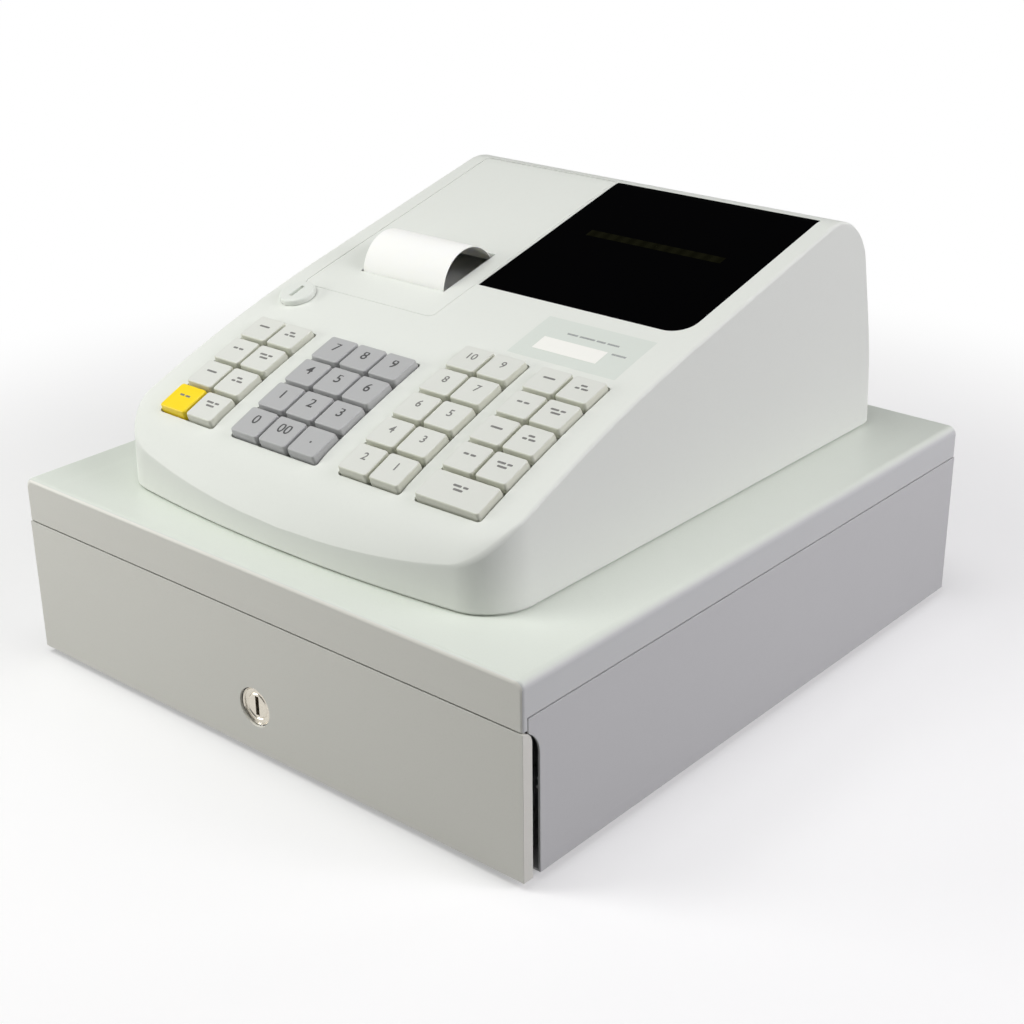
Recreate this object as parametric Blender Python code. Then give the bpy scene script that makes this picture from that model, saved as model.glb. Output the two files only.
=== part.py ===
# Ticket register: a small electronic till that stands on a steel cash drawer.
# Metres, +Z up, +X right. The front faces -Y. The origin is under the middle of the object, at the foot.
# Every length across the width is taken from the middle plane. Depths run back from the drawer's front face,
# and heights run up from the cabinet's underside; place() turns both into world coordinates.

import math

import bmesh
import bpy
from mathutils import Matrix, Vector

# Cash drawer cabinet
CABINET_WIDTH = 0.330
CABINET_DEPTH = 0.3595
CABINET_HEIGHT = 0.0782
CABINET_SHEET = 0.0012
CABINET_FLANGE = 0.012
CABINET_SET_BACK = 0.0108
CABINET_NOSE_GAP = 0.0007
CABINET_NOSE_RADIUS = 0.014
RAIL_LIFT = 0.036
RAIL_FRONT_INSET = 0.0075
RAIL_SIDE_GAP = 0.0023

# Lid of the cabinet
LID_RISE = 0.0181
LID_SHEET = 0.0015
LID_EDGE_RADIUS = 0.004
LID_CORNER_RADIUS = 0.005
LID_BAND_HEIGHT = 0.0236
LID_BAND_DEPTH = 0.003
STRIKE_WIDTH = 0.018
STRIKE_SHEET = 0.0020
STRIKE_LENGTH = 0.0323
STRIKE_CAM_GAP = 0.0007

# Rubber feet
FOOT_HEIGHT = 0.004
FOOT_RADIUS = 0.008
FOOT_TAPER = 0.001
FOOT_SIDE_INSET = 0.0350
FOOT_FRONT_INSET = 0.0450
FOOT_REAR_INSET = 0.0445
FOOT_SIDES = 16

# Drawer
PANEL_TOP_GAP = 0.0005
PANEL_SHEET = 0.0015
PANEL_RETURN = 0.0060
BOX_SIDE_ROOM = 0.0098
BOX_REAR_ROOM = 0.0305
BOX_BOTTOM = 0.0040
BOX_TOP_DROP = 0.0112
BOX_SHEET = 0.0012
RUNNER_SIDE_GAP = 0.0013
TRAY_SIDE_ROOM = 0.0028
TRAY_FRONT = 0.0300
TRAY_REAR_ROOM = 0.0526
TRAY_TOP_DROP = 0.0050
TRAY_WALL = 0.0020
TRAY_FLOOR = 0.0022
TRAY_COIN_LENGTH = 0.0700
TRAY_COIN_COLUMNS = 5
TRAY_NOTE_COLUMNS = 4
DRAWER_LOCK_HEIGHT = 0.0237
DRAWER_LOCK_RADIUS = 0.0098
DRAWER_LOCK_RECESS = 0.0012
DRAWER_LOCK_LENGTH = 0.0185
DRAWER_LOCK_CAM = 0.0420
DRAWER_LOCK_CAM_WIDTH = 0.0110
DRAWER_LOCK_CAM_SHEET = 0.0020
KEYWAY_WIDTH = 0.0024
KEYWAY_HEIGHT = 0.0100
KEYWAY_DEPTH = 0.0060

# Register housing: outline on the lid
CASE_HALF_WIDTH = 0.1262
CASE_FRONT = 0.0215
CASE_BACK = 0.3375
CASE_BOW_RADIUS = 0.850
CASE_CORNER_RADIUS = 0.026
CASE_REAR_RADIUS = 0.008
CASE_WALL = 0.0025
CASE_DRAFT = math.radians(2.6)
CASE_EDGE_RADIUS = 0.0018

# Register housing: side profile
DECK_ANGLE = math.radians(14.7)
DECK_JOIN_DEPTH = 0.168
DECK_JOIN_RISE = 0.0826
DECK_RADIUS = 0.790
NOSE_RADIUS = 0.062
NOSE_SIDE_RADIUS = 0.002
NOSE_END_ANGLE = math.radians(65)
REAR_RADIUS = 0.027
BACK_LEAN = math.radians(7.7)

# Keys
KEY_PITCH = 0.0196
ROW_PITCH = 0.01945
KEY_FRONT_DEPTH = 0.0427
KEY_GAP = 0.0013
ROW_GAP = 0.0017
KEY_RISE = 0.0033
KEY_SKIRT = 0.0020
KEY_BEVEL = 0.0009
KEY_CORNER = 0.0016
KEY_TRAVEL = 0.0030
KEY_STEM = 0.0050
KEY_FOOT = 0.0076
KEY_FOOT_THICKNESS = 0.0012
KEY_ROWS = 5
WELL_MARGIN = 0.0008
WELL_SPARE = 0.0005
WELL_FLOOR = 0.0020
WELL_WALL = 0.0020
WELL_CORNER = 0.0020
LEFT_BLOCK_X = -0.1045
NUMBER_BLOCK_X = -0.0526
DEPARTMENT_BLOCK_X = 0.0200
TOTAL_BLOCK_X = 0.0676

# Display window and printer cover, both set in the deck
PANEL_SIDE_INSET = 0.0156
PANE_THICKNESS = 0.0024
PANE_LEFT = -0.0164
PANE_LAG = 0.0115
PANE_CORNER = 0.0120
SEAT_LEDGE = 0.0060
SEAT_RIM = 0.0045
SEAT_THICKNESS = 0.0034
COVER_THICKNESS = 0.0022
COVER_PANE_GAP = 0.0020
COVER_LEAD = 0.0220
COVER_CORNER = 0.0040
PANEL_REAR_RUN = 0.0052
COVER_REAR_GAP = 0.0011
HINGE_PIN_RADIUS = 0.0012
HINGE_PIN_LENGTH = 0.0022
HINGE_PIN_INSET = 0.0016
HINGE_BORE_RADIUS = 0.00145
RIB_PIN_LENGTH = 0.0008

# Ticket printer
PRINTER_X = -0.0590
SLOT_SIDE_GAP = 0.0013
SLOT_LEAD = 0.0009
SLOT_LENGTH = 0.0412
PAPER_WIDTH = 0.0570
PAPER_THICKNESS = 0.00035
PAPER_LEAD = 0.02955
CURL_RADIUS = 0.0200
CURL_CENTRE_DROP = 0.00209
CURL_SWEEP = math.radians(152)
PAPER_DROP = 0.0190
PLATEN_RADIUS = 0.0070
PLATEN_SHAFT_RADIUS = 0.0025
PLATEN_DROP = 0.01366
ROLL_RADIUS = 0.0310
ROLL_CORE_RADIUS = 0.0068
ROLL_REACH = 0.0785
ROLL_LIFT_SHARE = 0.2193
FRAME_SHEET = 0.0020
FRAME_SIDE_GAP = 0.0020
FRAME_LEAD = 0.0175
FRAME_TAIL = 0.0420
FRAME_CROWN = 0.0110
FRAME_NOSE_RISE = 0.0060

# Mode lock
MODE_LOCK_X = -0.1030
MODE_LOCK_LEAD = 0.0108
MODE_LOCK_RADIUS = 0.0096
MODE_LOCK_RISE = 0.0034
MODE_LOCK_STEM_RADIUS = 0.0066
MODE_LOCK_STEM = 0.0110

# Inside the register
CHASSIS_FLOOR = 0.0025
CHASSIS_RIM = 0.0100
CHASSIS_SET_IN = 0.0044
GLAND_RADIUS = 0.0058
GLAND_BORE_RADIUS = 0.0035
GLAND_LIFT = 0.0100
GLAND_X = 0.0800
GLAND_REACH = 0.0050
BOARD_THICKNESS = 0.0016
BOARD_DROP = 0.0144
BOARD_OVERHANG = 0.0040
BOSS_SIDE = 0.0060
DISPLAY_BOSS_SIDE = 0.0042
DISPLAY_BOARD_DROP = 0.0160
DISPLAY_BOARD_LEAD = 0.0340
DISPLAY_BOARD_LENGTH = 0.0610
DISPLAY_GLASS_WIDTH = 0.0900
DISPLAY_GLASS_LENGTH = 0.0260
DISPLAY_GLASS_THICKNESS = 0.0060

# Clearances
SEAT_GAP = 0.0003
RUN_GAP = 0.0006
OVERRUN = 0.0100
ARC_STEP = math.radians(11)
DECK_STEP = 0.0230
STATION_STEP = 0.0006
ROUND_SIDES = 24
PIN_SIDES = 12
SHARP_ANGLE = math.radians(35)

# Drawer and lid, worked out from the sizes above
ORIGIN_DEPTH = CABINET_DEPTH / 2
LID_TOP = CABINET_HEIGHT + LID_RISE
LID_BAND_BOTTOM = LID_TOP - LID_BAND_HEIGHT
LID_SKIRT_BOTTOM = CABINET_HEIGHT + SEAT_GAP
PANEL_HEIGHT = LID_BAND_BOTTOM - PANEL_TOP_GAP
CABINET_NOSE_LIFT = PANEL_HEIGHT + CABINET_NOSE_GAP
CABINET_NOSE_FRONT = LID_BAND_DEPTH + RUN_GAP
CABINET_INNER_HALF = CABINET_WIDTH / 2 - CABINET_SHEET
BOX_HALF_WIDTH = CABINET_INNER_HALF - BOX_SIDE_ROOM
BOX_FRONT = PANEL_SHEET + SEAT_GAP
BOX_REAR = CABINET_DEPTH - CABINET_SHEET - BOX_REAR_ROOM
BOX_TOP = PANEL_HEIGHT - BOX_TOP_DROP
TRAY_HALF_WIDTH = BOX_HALF_WIDTH - BOX_SHEET - TRAY_SIDE_ROOM
TRAY_REAR = BOX_REAR - BOX_SHEET - TRAY_REAR_ROOM
TRAY_BOTTOM = BOX_BOTTOM + BOX_SHEET + SEAT_GAP
TRAY_TOP = BOX_TOP - TRAY_TOP_DROP
CAM_FRONT = DRAWER_LOCK_RECESS + DRAWER_LOCK_LENGTH - DRAWER_LOCK_CAM_SHEET / 2
STRIKE_FRONT = CAM_FRONT - STRIKE_CAM_GAP - STRIKE_SHEET

# Register, worked out from the sizes above
CASE_BASE = LID_TOP + SEAT_GAP
DECK_JOIN_HEIGHT = CASE_BASE + DECK_JOIN_RISE
DECK_JOIN = Vector((DECK_JOIN_DEPTH, DECK_JOIN_HEIGHT))
DECK_UP = Vector((math.cos(DECK_ANGLE), math.sin(DECK_ANGLE)))
DECK_OUT = Vector((-math.sin(DECK_ANGLE), math.cos(DECK_ANGLE)))
DECK_CENTRE = DECK_JOIN - DECK_OUT * DECK_RADIUS
WELL_DEPTH = KEY_SKIRT + KEY_TRAVEL + WELL_SPARE
PAPER_FRONT_DEPTH = KEY_FRONT_DEPTH + KEY_ROWS * ROW_PITCH + PAPER_LEAD
PANE_FRONT_DEPTH = PAPER_FRONT_DEPTH + PANE_LAG
PANE_RIGHT = CASE_HALF_WIDTH - PANEL_SIDE_INSET
COVER_LEFT = -PANE_RIGHT
COVER_RIGHT = PANE_LEFT - COVER_PANE_GAP
COVER_FRONT_DEPTH = PAPER_FRONT_DEPTH - COVER_LEAD
MODE_LOCK_DEPTH = COVER_FRONT_DEPTH - MODE_LOCK_LEAD
PAPER_LEFT = PRINTER_X - PAPER_WIDTH / 2
PAPER_RIGHT = PRINTER_X + PAPER_WIDTH / 2
SLOT_LEFT = PAPER_LEFT - SLOT_SIDE_GAP
SLOT_RIGHT = PAPER_RIGHT + SLOT_SIDE_GAP
SLOT_FRONT_DEPTH = PAPER_FRONT_DEPTH - SLOT_LEAD
FRAME_FRONT_DEPTH = PAPER_FRONT_DEPTH - FRAME_LEAD
ROLL_DEPTH = PAPER_FRONT_DEPTH + ROLL_REACH
FRAME_REAR_DEPTH = ROLL_DEPTH + FRAME_TAIL
FRAME_FLOOR = CASE_BASE + CHASSIS_FLOOR + SEAT_GAP
DISPLAY_BOARD_FRONT_DEPTH = PANE_FRONT_DEPTH + DISPLAY_BOARD_LEAD
DISPLAY_BOARD_REAR_DEPTH = DISPLAY_BOARD_FRONT_DEPTH + DISPLAY_BOARD_LENGTH


def out_at(angle):
    """The outward normal, in the side view, where the surface climbs at this angle."""
    return Vector((-math.sin(angle), math.cos(angle)))


BACK_FOOT = Vector((CASE_BACK, CASE_BASE))
BACK_UP = Vector((-math.sin(BACK_LEAN), math.cos(BACK_LEAN)))


def rear_round():
    """(centre of the rounding between the deck and the back, run of the deck up to it)."""
    gap = BACK_FOOT - DECK_JOIN
    cross = DECK_UP.x * BACK_UP.y - DECK_UP.y * BACK_UP.x
    run = (gap.x * BACK_UP.y - gap.y * BACK_UP.x) / cross
    turn = math.pi / 2 + DECK_ANGLE - BACK_LEAN
    run -= REAR_RADIUS * math.tan(turn / 2)
    return DECK_JOIN + DECK_UP * run - DECK_OUT * REAR_RADIUS, run


REAR_CENTRE, DECK_RUN = rear_round()
PANEL_REAR = DECK_RUN + PANEL_REAR_RUN


def deck_angle(run):
    """How steeply the deck climbs at this run along it. The run is 0 at the join of its arc and its flat."""
    if run < 0:
        return DECK_ANGLE - run / DECK_RADIUS
    if run <= DECK_RUN:
        return DECK_ANGLE
    return DECK_ANGLE - (run - DECK_RUN) / REAR_RADIUS


def deck_point(run, drop=0.0):
    """(depth, height) of the point this far along the deck and this far under its surface."""
    angle = deck_angle(run)
    if run < 0:
        return DECK_CENTRE + out_at(angle) * (DECK_RADIUS - drop)
    if run <= DECK_RUN:
        return DECK_JOIN + DECK_UP * run - DECK_OUT * drop
    return REAR_CENTRE + out_at(angle) * (REAR_RADIUS - drop)


def deck_run(depth):
    """The run along the deck whose surface point lies at this depth."""
    if depth < DECK_JOIN_DEPTH:
        return (DECK_ANGLE - math.asin((DECK_CENTRE.x - depth) / DECK_RADIUS)) * DECK_RADIUS
    return (depth - DECK_JOIN_DEPTH) / math.cos(DECK_ANGLE)


def place(x, depth, height):
    """World coordinates of a point given from the middle plane, drawer front and cabinet underside."""
    return Vector((x, depth - ORIGIN_DEPTH, height + FOOT_HEIGHT))


def on_deck(x, run, drop=0.0):
    point = deck_point(run, drop)
    return place(x, point.x, point.y)


def deck_frame(x, run, drop=0.0):
    """A matrix whose X is to the right, Y up the deck and Z out of it, at a point of the deck."""
    angle = deck_angle(run)
    return Matrix.Translation(on_deck(x, run, drop)) @ Matrix.Rotation(angle, 4, "X")


# Making meshes


def material(name, colour, roughness, metallic=0.0):
    made = bpy.data.materials.new(name)
    made.use_nodes = True
    shader = made.node_tree.nodes["Principled BSDF"]
    shader.inputs["Base Color"].default_value = (*colour, 1.0)
    shader.inputs["Roughness"].default_value = roughness
    shader.inputs["Metallic"].default_value = metallic
    return made


WHITE_PLASTIC = ((0.74, 0.77, 0.72), 0.45)
GREY_PAINT = ((0.47, 0.46, 0.43), 0.40)


def add_object(name, bm, origin=None, finish=None, smooth=False):
    """Turns a bmesh in world coordinates into an object whose origin is at the given point."""
    bmesh.ops.recalc_face_normals(bm, faces=bm.faces)
    shift = Vector(origin) if origin is not None else Vector((0, 0, 0))
    bmesh.ops.translate(bm, verts=bm.verts, vec=-shift)
    mesh = bpy.data.meshes.new(name)
    bm.to_mesh(mesh)
    bm.free()
    made = bpy.data.objects.new(name, mesh)
    made.location = shift
    bpy.context.scene.collection.objects.link(made)
    if finish is not None:
        colour, roughness, *metal = finish
        mesh.materials.append(material(name, colour, roughness, *metal))
    if smooth:
        mesh.shade_smooth()
        mesh.set_sharp_from_angle(angle=SHARP_ANGLE)
    return made


def cutter(name, bm):
    made = add_object(name, bm)
    made.hide_render = True
    made.display_type = "WIRE"
    return made


# The exact solver leaves open edges where this piece's many shallow facets cross.
MANIFOLD_PIECES = ("upper_case",)


def boolean(target, other, operation):
    modifier = target.modifiers.new(other.name, "BOOLEAN")
    modifier.operation = operation
    modifier.object = other
    modifier.solver = "MANIFOLD" if target.name in MANIFOLD_PIECES else "EXACT"


def cut(target, other):
    boolean(target, other, "DIFFERENCE")


def join(target, other):
    boolean(target, other, "UNION")


def add_loft(bm, loops):
    """A closed skin through loops of equally many points, capped at both ends."""
    rings = [[bm.verts.new(point) for point in loop] for loop in loops]
    count = len(rings[0])
    for lower, upper in zip(rings, rings[1:]):
        for i in range(count):
            j = (i + 1) % count
            bm.faces.new((lower[i], lower[j], upper[j], upper[i]))
    bm.faces.new(rings[0])
    bm.faces.new(rings[-1])


def loft(loops):
    bm = bmesh.new()
    add_loft(bm, loops)
    return bm


def side_prism(outline, low_x, high_x):
    """A prism across the width, from an outline of (depth, height) points."""
    return loft([[place(x, depth, height) for depth, height in outline] for x in (low_x, high_x)])


def plan_prism(outline, low, high):
    """An upright prism, from an outline of (x, depth) points."""
    return loft([[place(x, depth, height) for x, depth in outline] for height in (low, high)])


def add_box(bm, low, high):
    """A box between two corners given as (x, depth, height)."""
    corners = ((low[0], low[1]), (high[0], low[1]), (high[0], high[1]), (low[0], high[1]))
    add_loft(bm, [[place(x, depth, height) for x, depth in corners] for height in (low[2], high[2])])


def box(low, high):
    bm = bmesh.new()
    add_box(bm, low, high)
    return bm


def ring(radius, matrix, height=0.0, sides=ROUND_SIDES):
    points = []
    for i in range(sides):
        angle = 2 * math.pi * (i + 0.5) / sides
        points.append(matrix @ Vector((radius * math.cos(angle), radius * math.sin(angle), height)))
    return points


def turned(profile, matrix, sides=ROUND_SIDES):
    """A solid turned about the matrix's Z axis, from (radius, height) pairs."""
    return loft([ring(radius, matrix, height, sides) for radius, height in profile])


def arc(centre, radius, start, end, step=ARC_STEP):
    """Points of an arc, both ends included. Angles run anticlockwise from the first axis."""
    count = max(1, math.ceil(abs(end - start) / step))
    points = []
    for i in range(count + 1):
        angle = start + (end - start) * i / count
        points.append((centre[0] + radius * math.cos(angle), centre[1] + radius * math.sin(angle)))
    return points


def rounded_rectangle(x0, y0, x1, y1, radius):
    quarter = math.pi / 2
    points = arc((x1 - radius, y1 - radius), radius, 0, quarter)
    points += arc((x0 + radius, y1 - radius), radius, quarter, 2 * quarter)
    points += arc((x0 + radius, y0 + radius), radius, 2 * quarter, 3 * quarter)
    points += arc((x1 - radius, y0 + radius), radius, 3 * quarter, 4 * quarter)
    return points


# Register housing


def corner_centre():
    """Centre of the front corner's rounding: it touches the bowed front and the side."""
    x = CASE_HALF_WIDTH - CASE_CORNER_RADIUS
    reach = CASE_BOW_RADIUS - CASE_CORNER_RADIUS
    return Vector((x, CASE_FRONT + CASE_BOW_RADIUS - math.sqrt(reach**2 - x**2)))


CORNER = corner_centre()
BOW_SPREAD = math.asin(CORNER.x / (CASE_BOW_RADIUS - CASE_CORNER_RADIUS))


def case_half_width(depth, inset=0.0):
    """Half of the housing's width at its foot, at this depth."""
    bow = CASE_BOW_RADIUS - inset
    corner = CASE_CORNER_RADIUS - inset
    rear = CASE_REAR_RADIUS - inset
    rear_start = CASE_BACK - CASE_REAR_RADIUS
    if depth < CORNER.y - corner * math.cos(BOW_SPREAD):
        away = CASE_FRONT + CASE_BOW_RADIUS - depth
        return math.sqrt(max(bow**2 - away**2, 0))
    if depth < CORNER.y:
        return CORNER.x + math.sqrt(corner**2 - (CORNER.y - depth) ** 2)
    if depth <= rear_start:
        return CASE_HALF_WIDTH - inset
    return CASE_HALF_WIDTH - CASE_REAR_RADIUS + math.sqrt(max(rear**2 - (depth - rear_start) ** 2, 0))


def wall_depth(x, inset=0.0):
    """Depth of the housing's front wall at this distance from the middle plane."""
    bow = CASE_BOW_RADIUS - inset
    corner = CASE_CORNER_RADIUS - inset
    if abs(x) < CORNER.x + corner * math.sin(BOW_SPREAD):
        return CASE_FRONT + CASE_BOW_RADIUS - math.sqrt(bow**2 - x**2)
    return CORNER.y - math.sqrt(max(corner**2 - (abs(x) - CORNER.x) ** 2, 0))


def nose_circle(x, inset=0.0):
    """(centre, radius) of the arc by which the deck curls over to the front wall, tightest at the sides."""
    share = math.sqrt(max(1 - (x / CASE_HALF_WIDTH) ** 2, 0))
    radius = NOSE_SIDE_RADIUS + (NOSE_RADIUS - NOSE_SIDE_RADIUS) * share
    depth = wall_depth(x, inset) + radius * math.sin(NOSE_END_ANGLE)
    reach = DECK_RADIUS - inset - radius
    return Vector((depth, DECK_CENTRE.y + math.sqrt(reach**2 - (depth - DECK_CENTRE.x) ** 2))), radius


def case_top(x, depth, inset=0.0):
    """Height of the housing's outer surface over this place, or of a surface this far inside it."""
    centre, radius = nose_circle(x, inset)
    away = centre - DECK_CENTRE
    nose_end = centre.x + away.x * radius / away.length
    arc_end = DECK_JOIN_DEPTH + inset * math.sin(DECK_ANGLE)
    flat_end = REAR_CENTRE.x - (REAR_RADIUS - inset) * math.sin(DECK_ANGLE)
    rear_end = REAR_CENTRE.x + (REAR_RADIUS - inset) * math.cos(BACK_LEAN)
    if depth < nose_end:
        return centre.y + math.sqrt(max(radius**2 - (depth - centre.x) ** 2, 0))
    if depth < arc_end:
        return DECK_CENTRE.y + math.sqrt((DECK_RADIUS - inset) ** 2 - (depth - DECK_CENTRE.x) ** 2)
    if depth < flat_end:
        rise = (depth - DECK_JOIN_DEPTH) * math.tan(DECK_ANGLE)
        return DECK_JOIN_HEIGHT + rise - inset / math.cos(DECK_ANGLE)
    if depth < rear_end:
        return REAR_CENTRE.y + math.sqrt((REAR_RADIUS - inset) ** 2 - (depth - REAR_CENTRE.x) ** 2)
    return CASE_BASE + (CASE_BACK - inset / math.cos(BACK_LEAN) - depth) / math.tan(BACK_LEAN)


BOW_STATION_SHARES = (0.10, 0.32, 0.55, 0.78, 1.0)


def case_depths(inset=0.0):
    """Depths of the slices that describe the housing, from front to back."""
    depths = []
    bow = CASE_BOW_RADIUS - inset
    for share in BOW_STATION_SHARES:
        depths.append(CASE_FRONT + CASE_BOW_RADIUS - bow * math.cos(BOW_SPREAD * share))
    corner = CASE_CORNER_RADIUS - inset
    for x, depth in arc(CORNER, corner, math.pi * 1.5 + BOW_SPREAD, math.pi * 2):
        depths.append(depth)
    front = CORNER.y
    deck_end = DECK_JOIN_DEPTH + inset * math.sin(DECK_ANGLE)
    steps = math.ceil((deck_end - front) / DECK_STEP)
    depths += [front + (deck_end - front) * i / steps for i in range(1, steps + 1)]
    for depth, height in arc(REAR_CENTRE, REAR_RADIUS - inset, math.pi / 2 + DECK_ANGLE, BACK_LEAN):
        depths.append(depth)
    rear = CASE_REAR_RADIUS - inset
    rear_start = CASE_BACK - CASE_REAR_RADIUS
    for depth, x in arc((rear_start, 0), rear, math.pi / 2, 0, ARC_STEP * 2):
        depths.append(depth)
    first = depths[0]
    last = CASE_BACK - inset / math.cos(BACK_LEAN)
    kept = [first]
    for depth in sorted(depths):
        if depth - kept[-1] > STATION_STEP and last - depth > STATION_STEP / 2:
            kept.append(depth)
    return kept


ACROSS_SHARES = (1.0, 0.96, 0.88, 0.74, 0.55, 0.30, 0.0)


def case_slice(depth, inset, foot):
    """One slice of the housing across its width, with the top edges rounded."""
    base = case_half_width(depth, inset)
    lean = math.tan(CASE_DRAFT)
    side_top = case_top(base, depth, inset)
    half = base - lean * (side_top - CASE_EDGE_RADIUS - CASE_BASE)
    edge = min(CASE_EDGE_RADIUS, (side_top - foot) / 3, half / 2)
    diagonal = edge * (1 - math.cos(math.pi / 4))
    right = [
        (base - lean * (foot - CASE_BASE), foot),
        (half, case_top(half, depth, inset) - edge),
        (half - diagonal, case_top(half - diagonal, depth, inset) - diagonal),
    ]
    for share in ACROSS_SHARES:
        x = (half - edge) * share
        right.append((x, case_top(x, depth, inset)))
    left = [(-x, height) for x, height in reversed(right[:-1])]
    return [place(x, depth, height) for x, height in right + left]


def case_loops(inset, foot):
    loops = []
    for depth in case_depths(inset):
        if case_top(0, depth, inset) - foot > CASE_EDGE_RADIUS:
            loops.append(case_slice(depth, inset, foot))
    return loops


def deck_stations(front, rear, front_radius, rear_radius):
    """Runs along the deck where a plate set into it needs a line of points."""
    runs = [front, rear]
    for radius, start, sign in ((front_radius, front, 1), (rear_radius, rear, -1)):
        for x, y in arc((0, 0), radius, 0, math.pi / 2, ARC_STEP * 2):
            runs.append(start + sign * (radius - x))
    runs += [0.0, DECK_RUN]
    steps = max(1, math.ceil(-front / DECK_STEP))
    runs += [front * (1 - i / steps) for i in range(1, steps)]
    kept = [front]
    for run in sorted(runs):
        if run - kept[-1] > SEAT_GAP / 3 and rear - run > SEAT_GAP / 3:
            kept.append(run)
    return kept + [rear]


def deck_plate(left, right, front, rear, top, bottom, radii=(0, 0, 0)):
    """A plate parallel to the deck. Its drops run from top to bottom, and its radii are
    those of the front left, the front right and both rear corners."""
    front_left, front_right, rear_both = radii
    biggest = max(front_left, front_right)
    loops = []
    for run in deck_stations(front, rear, biggest, rear_both):
        edges = []
        for radius in (front_left, front_right):
            cut_in = 0.0
            if run < front + radius:
                cut_in = radius - math.sqrt(max(radius**2 - (front + radius - run) ** 2, 0))
            if run > rear - rear_both:
                cut_in = rear_both - math.sqrt(max(rear_both**2 - (run - rear + rear_both) ** 2, 0))
            edges.append(cut_in)
        x0 = left + edges[0]
        x1 = right - edges[1]
        loops.append(
            [on_deck(x0, run, top), on_deck(x1, run, top), on_deck(x1, run, bottom), on_deck(x0, run, bottom)]
        )
    return loft(loops)


# The key blocks: (name, left edge, columns, rows, whether the front row is one double key)
KEY_BLOCKS = (
    ("key_left", LEFT_BLOCK_X, 2, 4, False),
    ("key_number", NUMBER_BLOCK_X, 3, 4, False),
    ("key_department", DEPARTMENT_BLOCK_X, 2, KEY_ROWS, False),
    ("key_total", TOTAL_BLOCK_X, 2, KEY_ROWS, True),
)
KEY_FRONT_RUN = deck_run(KEY_FRONT_DEPTH)


def key_places():
    """(name, left edge, right edge, run of its middle, columns it spans) of each key."""
    places = []
    for name, left, columns, rows, double in KEY_BLOCKS:
        number = 0
        for row in reversed(range(rows)):
            run = KEY_FRONT_RUN + (row + 0.5) * ROW_PITCH - ROW_GAP / 2
            if double and row == 0:
                places.append((f"{name}_wide", left, left + columns * KEY_PITCH - KEY_GAP, run, columns))
                continue
            for column in range(columns):
                number += 1
                start = left + column * KEY_PITCH
                places.append((f"{name}_{number:02d}", start, start + KEY_PITCH - KEY_GAP, run, 1))
    return places


def stem_centres(left, right, columns):
    middle = (left + right) / 2
    return [middle + (i - (columns - 1) / 2) * KEY_PITCH for i in range(columns)]


def block_limits(left, columns, rows):
    """(left, right, front run, rear run) of the opening round a key block."""
    right = left + columns * KEY_PITCH - KEY_GAP
    rear = KEY_FRONT_RUN + rows * ROW_PITCH - ROW_GAP
    return left - WELL_MARGIN, right + WELL_MARGIN, KEY_FRONT_RUN - WELL_MARGIN, rear + WELL_MARGIN


def add_square_post(bm, matrix, side, low, high):
    half = side / 2
    corners = ((-half, -half), (half, -half), (half, half), (-half, half))
    add_loft(bm, [[matrix @ Vector((x, y, z)) for x, y in corners] for z in (low, high)])


def board_depth_at(run):
    """How far under the deck the board's top face lies, straight down the deck's normal."""
    away = run - BOARD_RUN
    sag = DECK_RADIUS - math.sqrt(DECK_RADIUS**2 - away**2)
    return BOARD_DROP - sag


BOARD_RUN = KEY_FRONT_RUN + KEY_ROWS * ROW_PITCH / 2
FLOOR_BOTTOM = WELL_DEPTH + WELL_FLOOR


def add_board_bosses(case):
    """Square bosses under the key wells that the board is screwed to."""
    places = [
        (LEFT_BLOCK_X + KEY_PITCH - KEY_GAP / 2, 1),
        (LEFT_BLOCK_X + KEY_PITCH - KEY_GAP / 2, 3),
        (TOTAL_BLOCK_X + KEY_PITCH - KEY_GAP / 2, 2),
        (TOTAL_BLOCK_X + KEY_PITCH - KEY_GAP / 2, 4),
    ]
    bm = bmesh.new()
    for x, rows in places:
        run = KEY_FRONT_RUN + rows * ROW_PITCH - ROW_GAP / 2
        foot = board_depth_at(run) - 2 * SEAT_GAP
        add_square_post(bm, deck_frame(x, run), BOSS_SIDE, -foot, -(WELL_DEPTH + WELL_FLOOR / 2))
    join(case, cutter("board_bosses", bm))


def cut_wells(case):
    tubs = []
    pockets = []
    for name, left, columns, rows, double in KEY_BLOCKS:
        x0, x1, front, rear = block_limits(left, columns, rows)
        wall = WELL_WALL
        top = CASE_WALL - SEAT_GAP
        tub = deck_plate(x0 - wall, x1 + wall, front - wall, rear + wall, top, FLOOR_BOTTOM)
        tubs.append(cutter(f"{name}_tub", tub))
        radii = (WELL_CORNER, WELL_CORNER, WELL_CORNER)
        pocket = deck_plate(x0, x1, front, rear, -OVERRUN, WELL_DEPTH, radii)
        pockets.append(cutter(f"{name}_pocket", pocket))
    for tub in tubs:
        join(case, tub)
    for pocket in pockets:
        cut(case, pocket)
    add_board_bosses(case)
    bm = bmesh.new()
    for name, left, right, run, columns in key_places():
        for x in stem_centres(left, right, columns):
            side = KEY_STEM + 2 * SEAT_GAP
            low = -(FLOOR_BOTTOM + WELL_FLOOR)
            add_square_post(bm, deck_frame(x, run), side, low, -(WELL_DEPTH - WELL_FLOOR))
    cut(case, cutter("stem_holes", bm))


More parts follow.
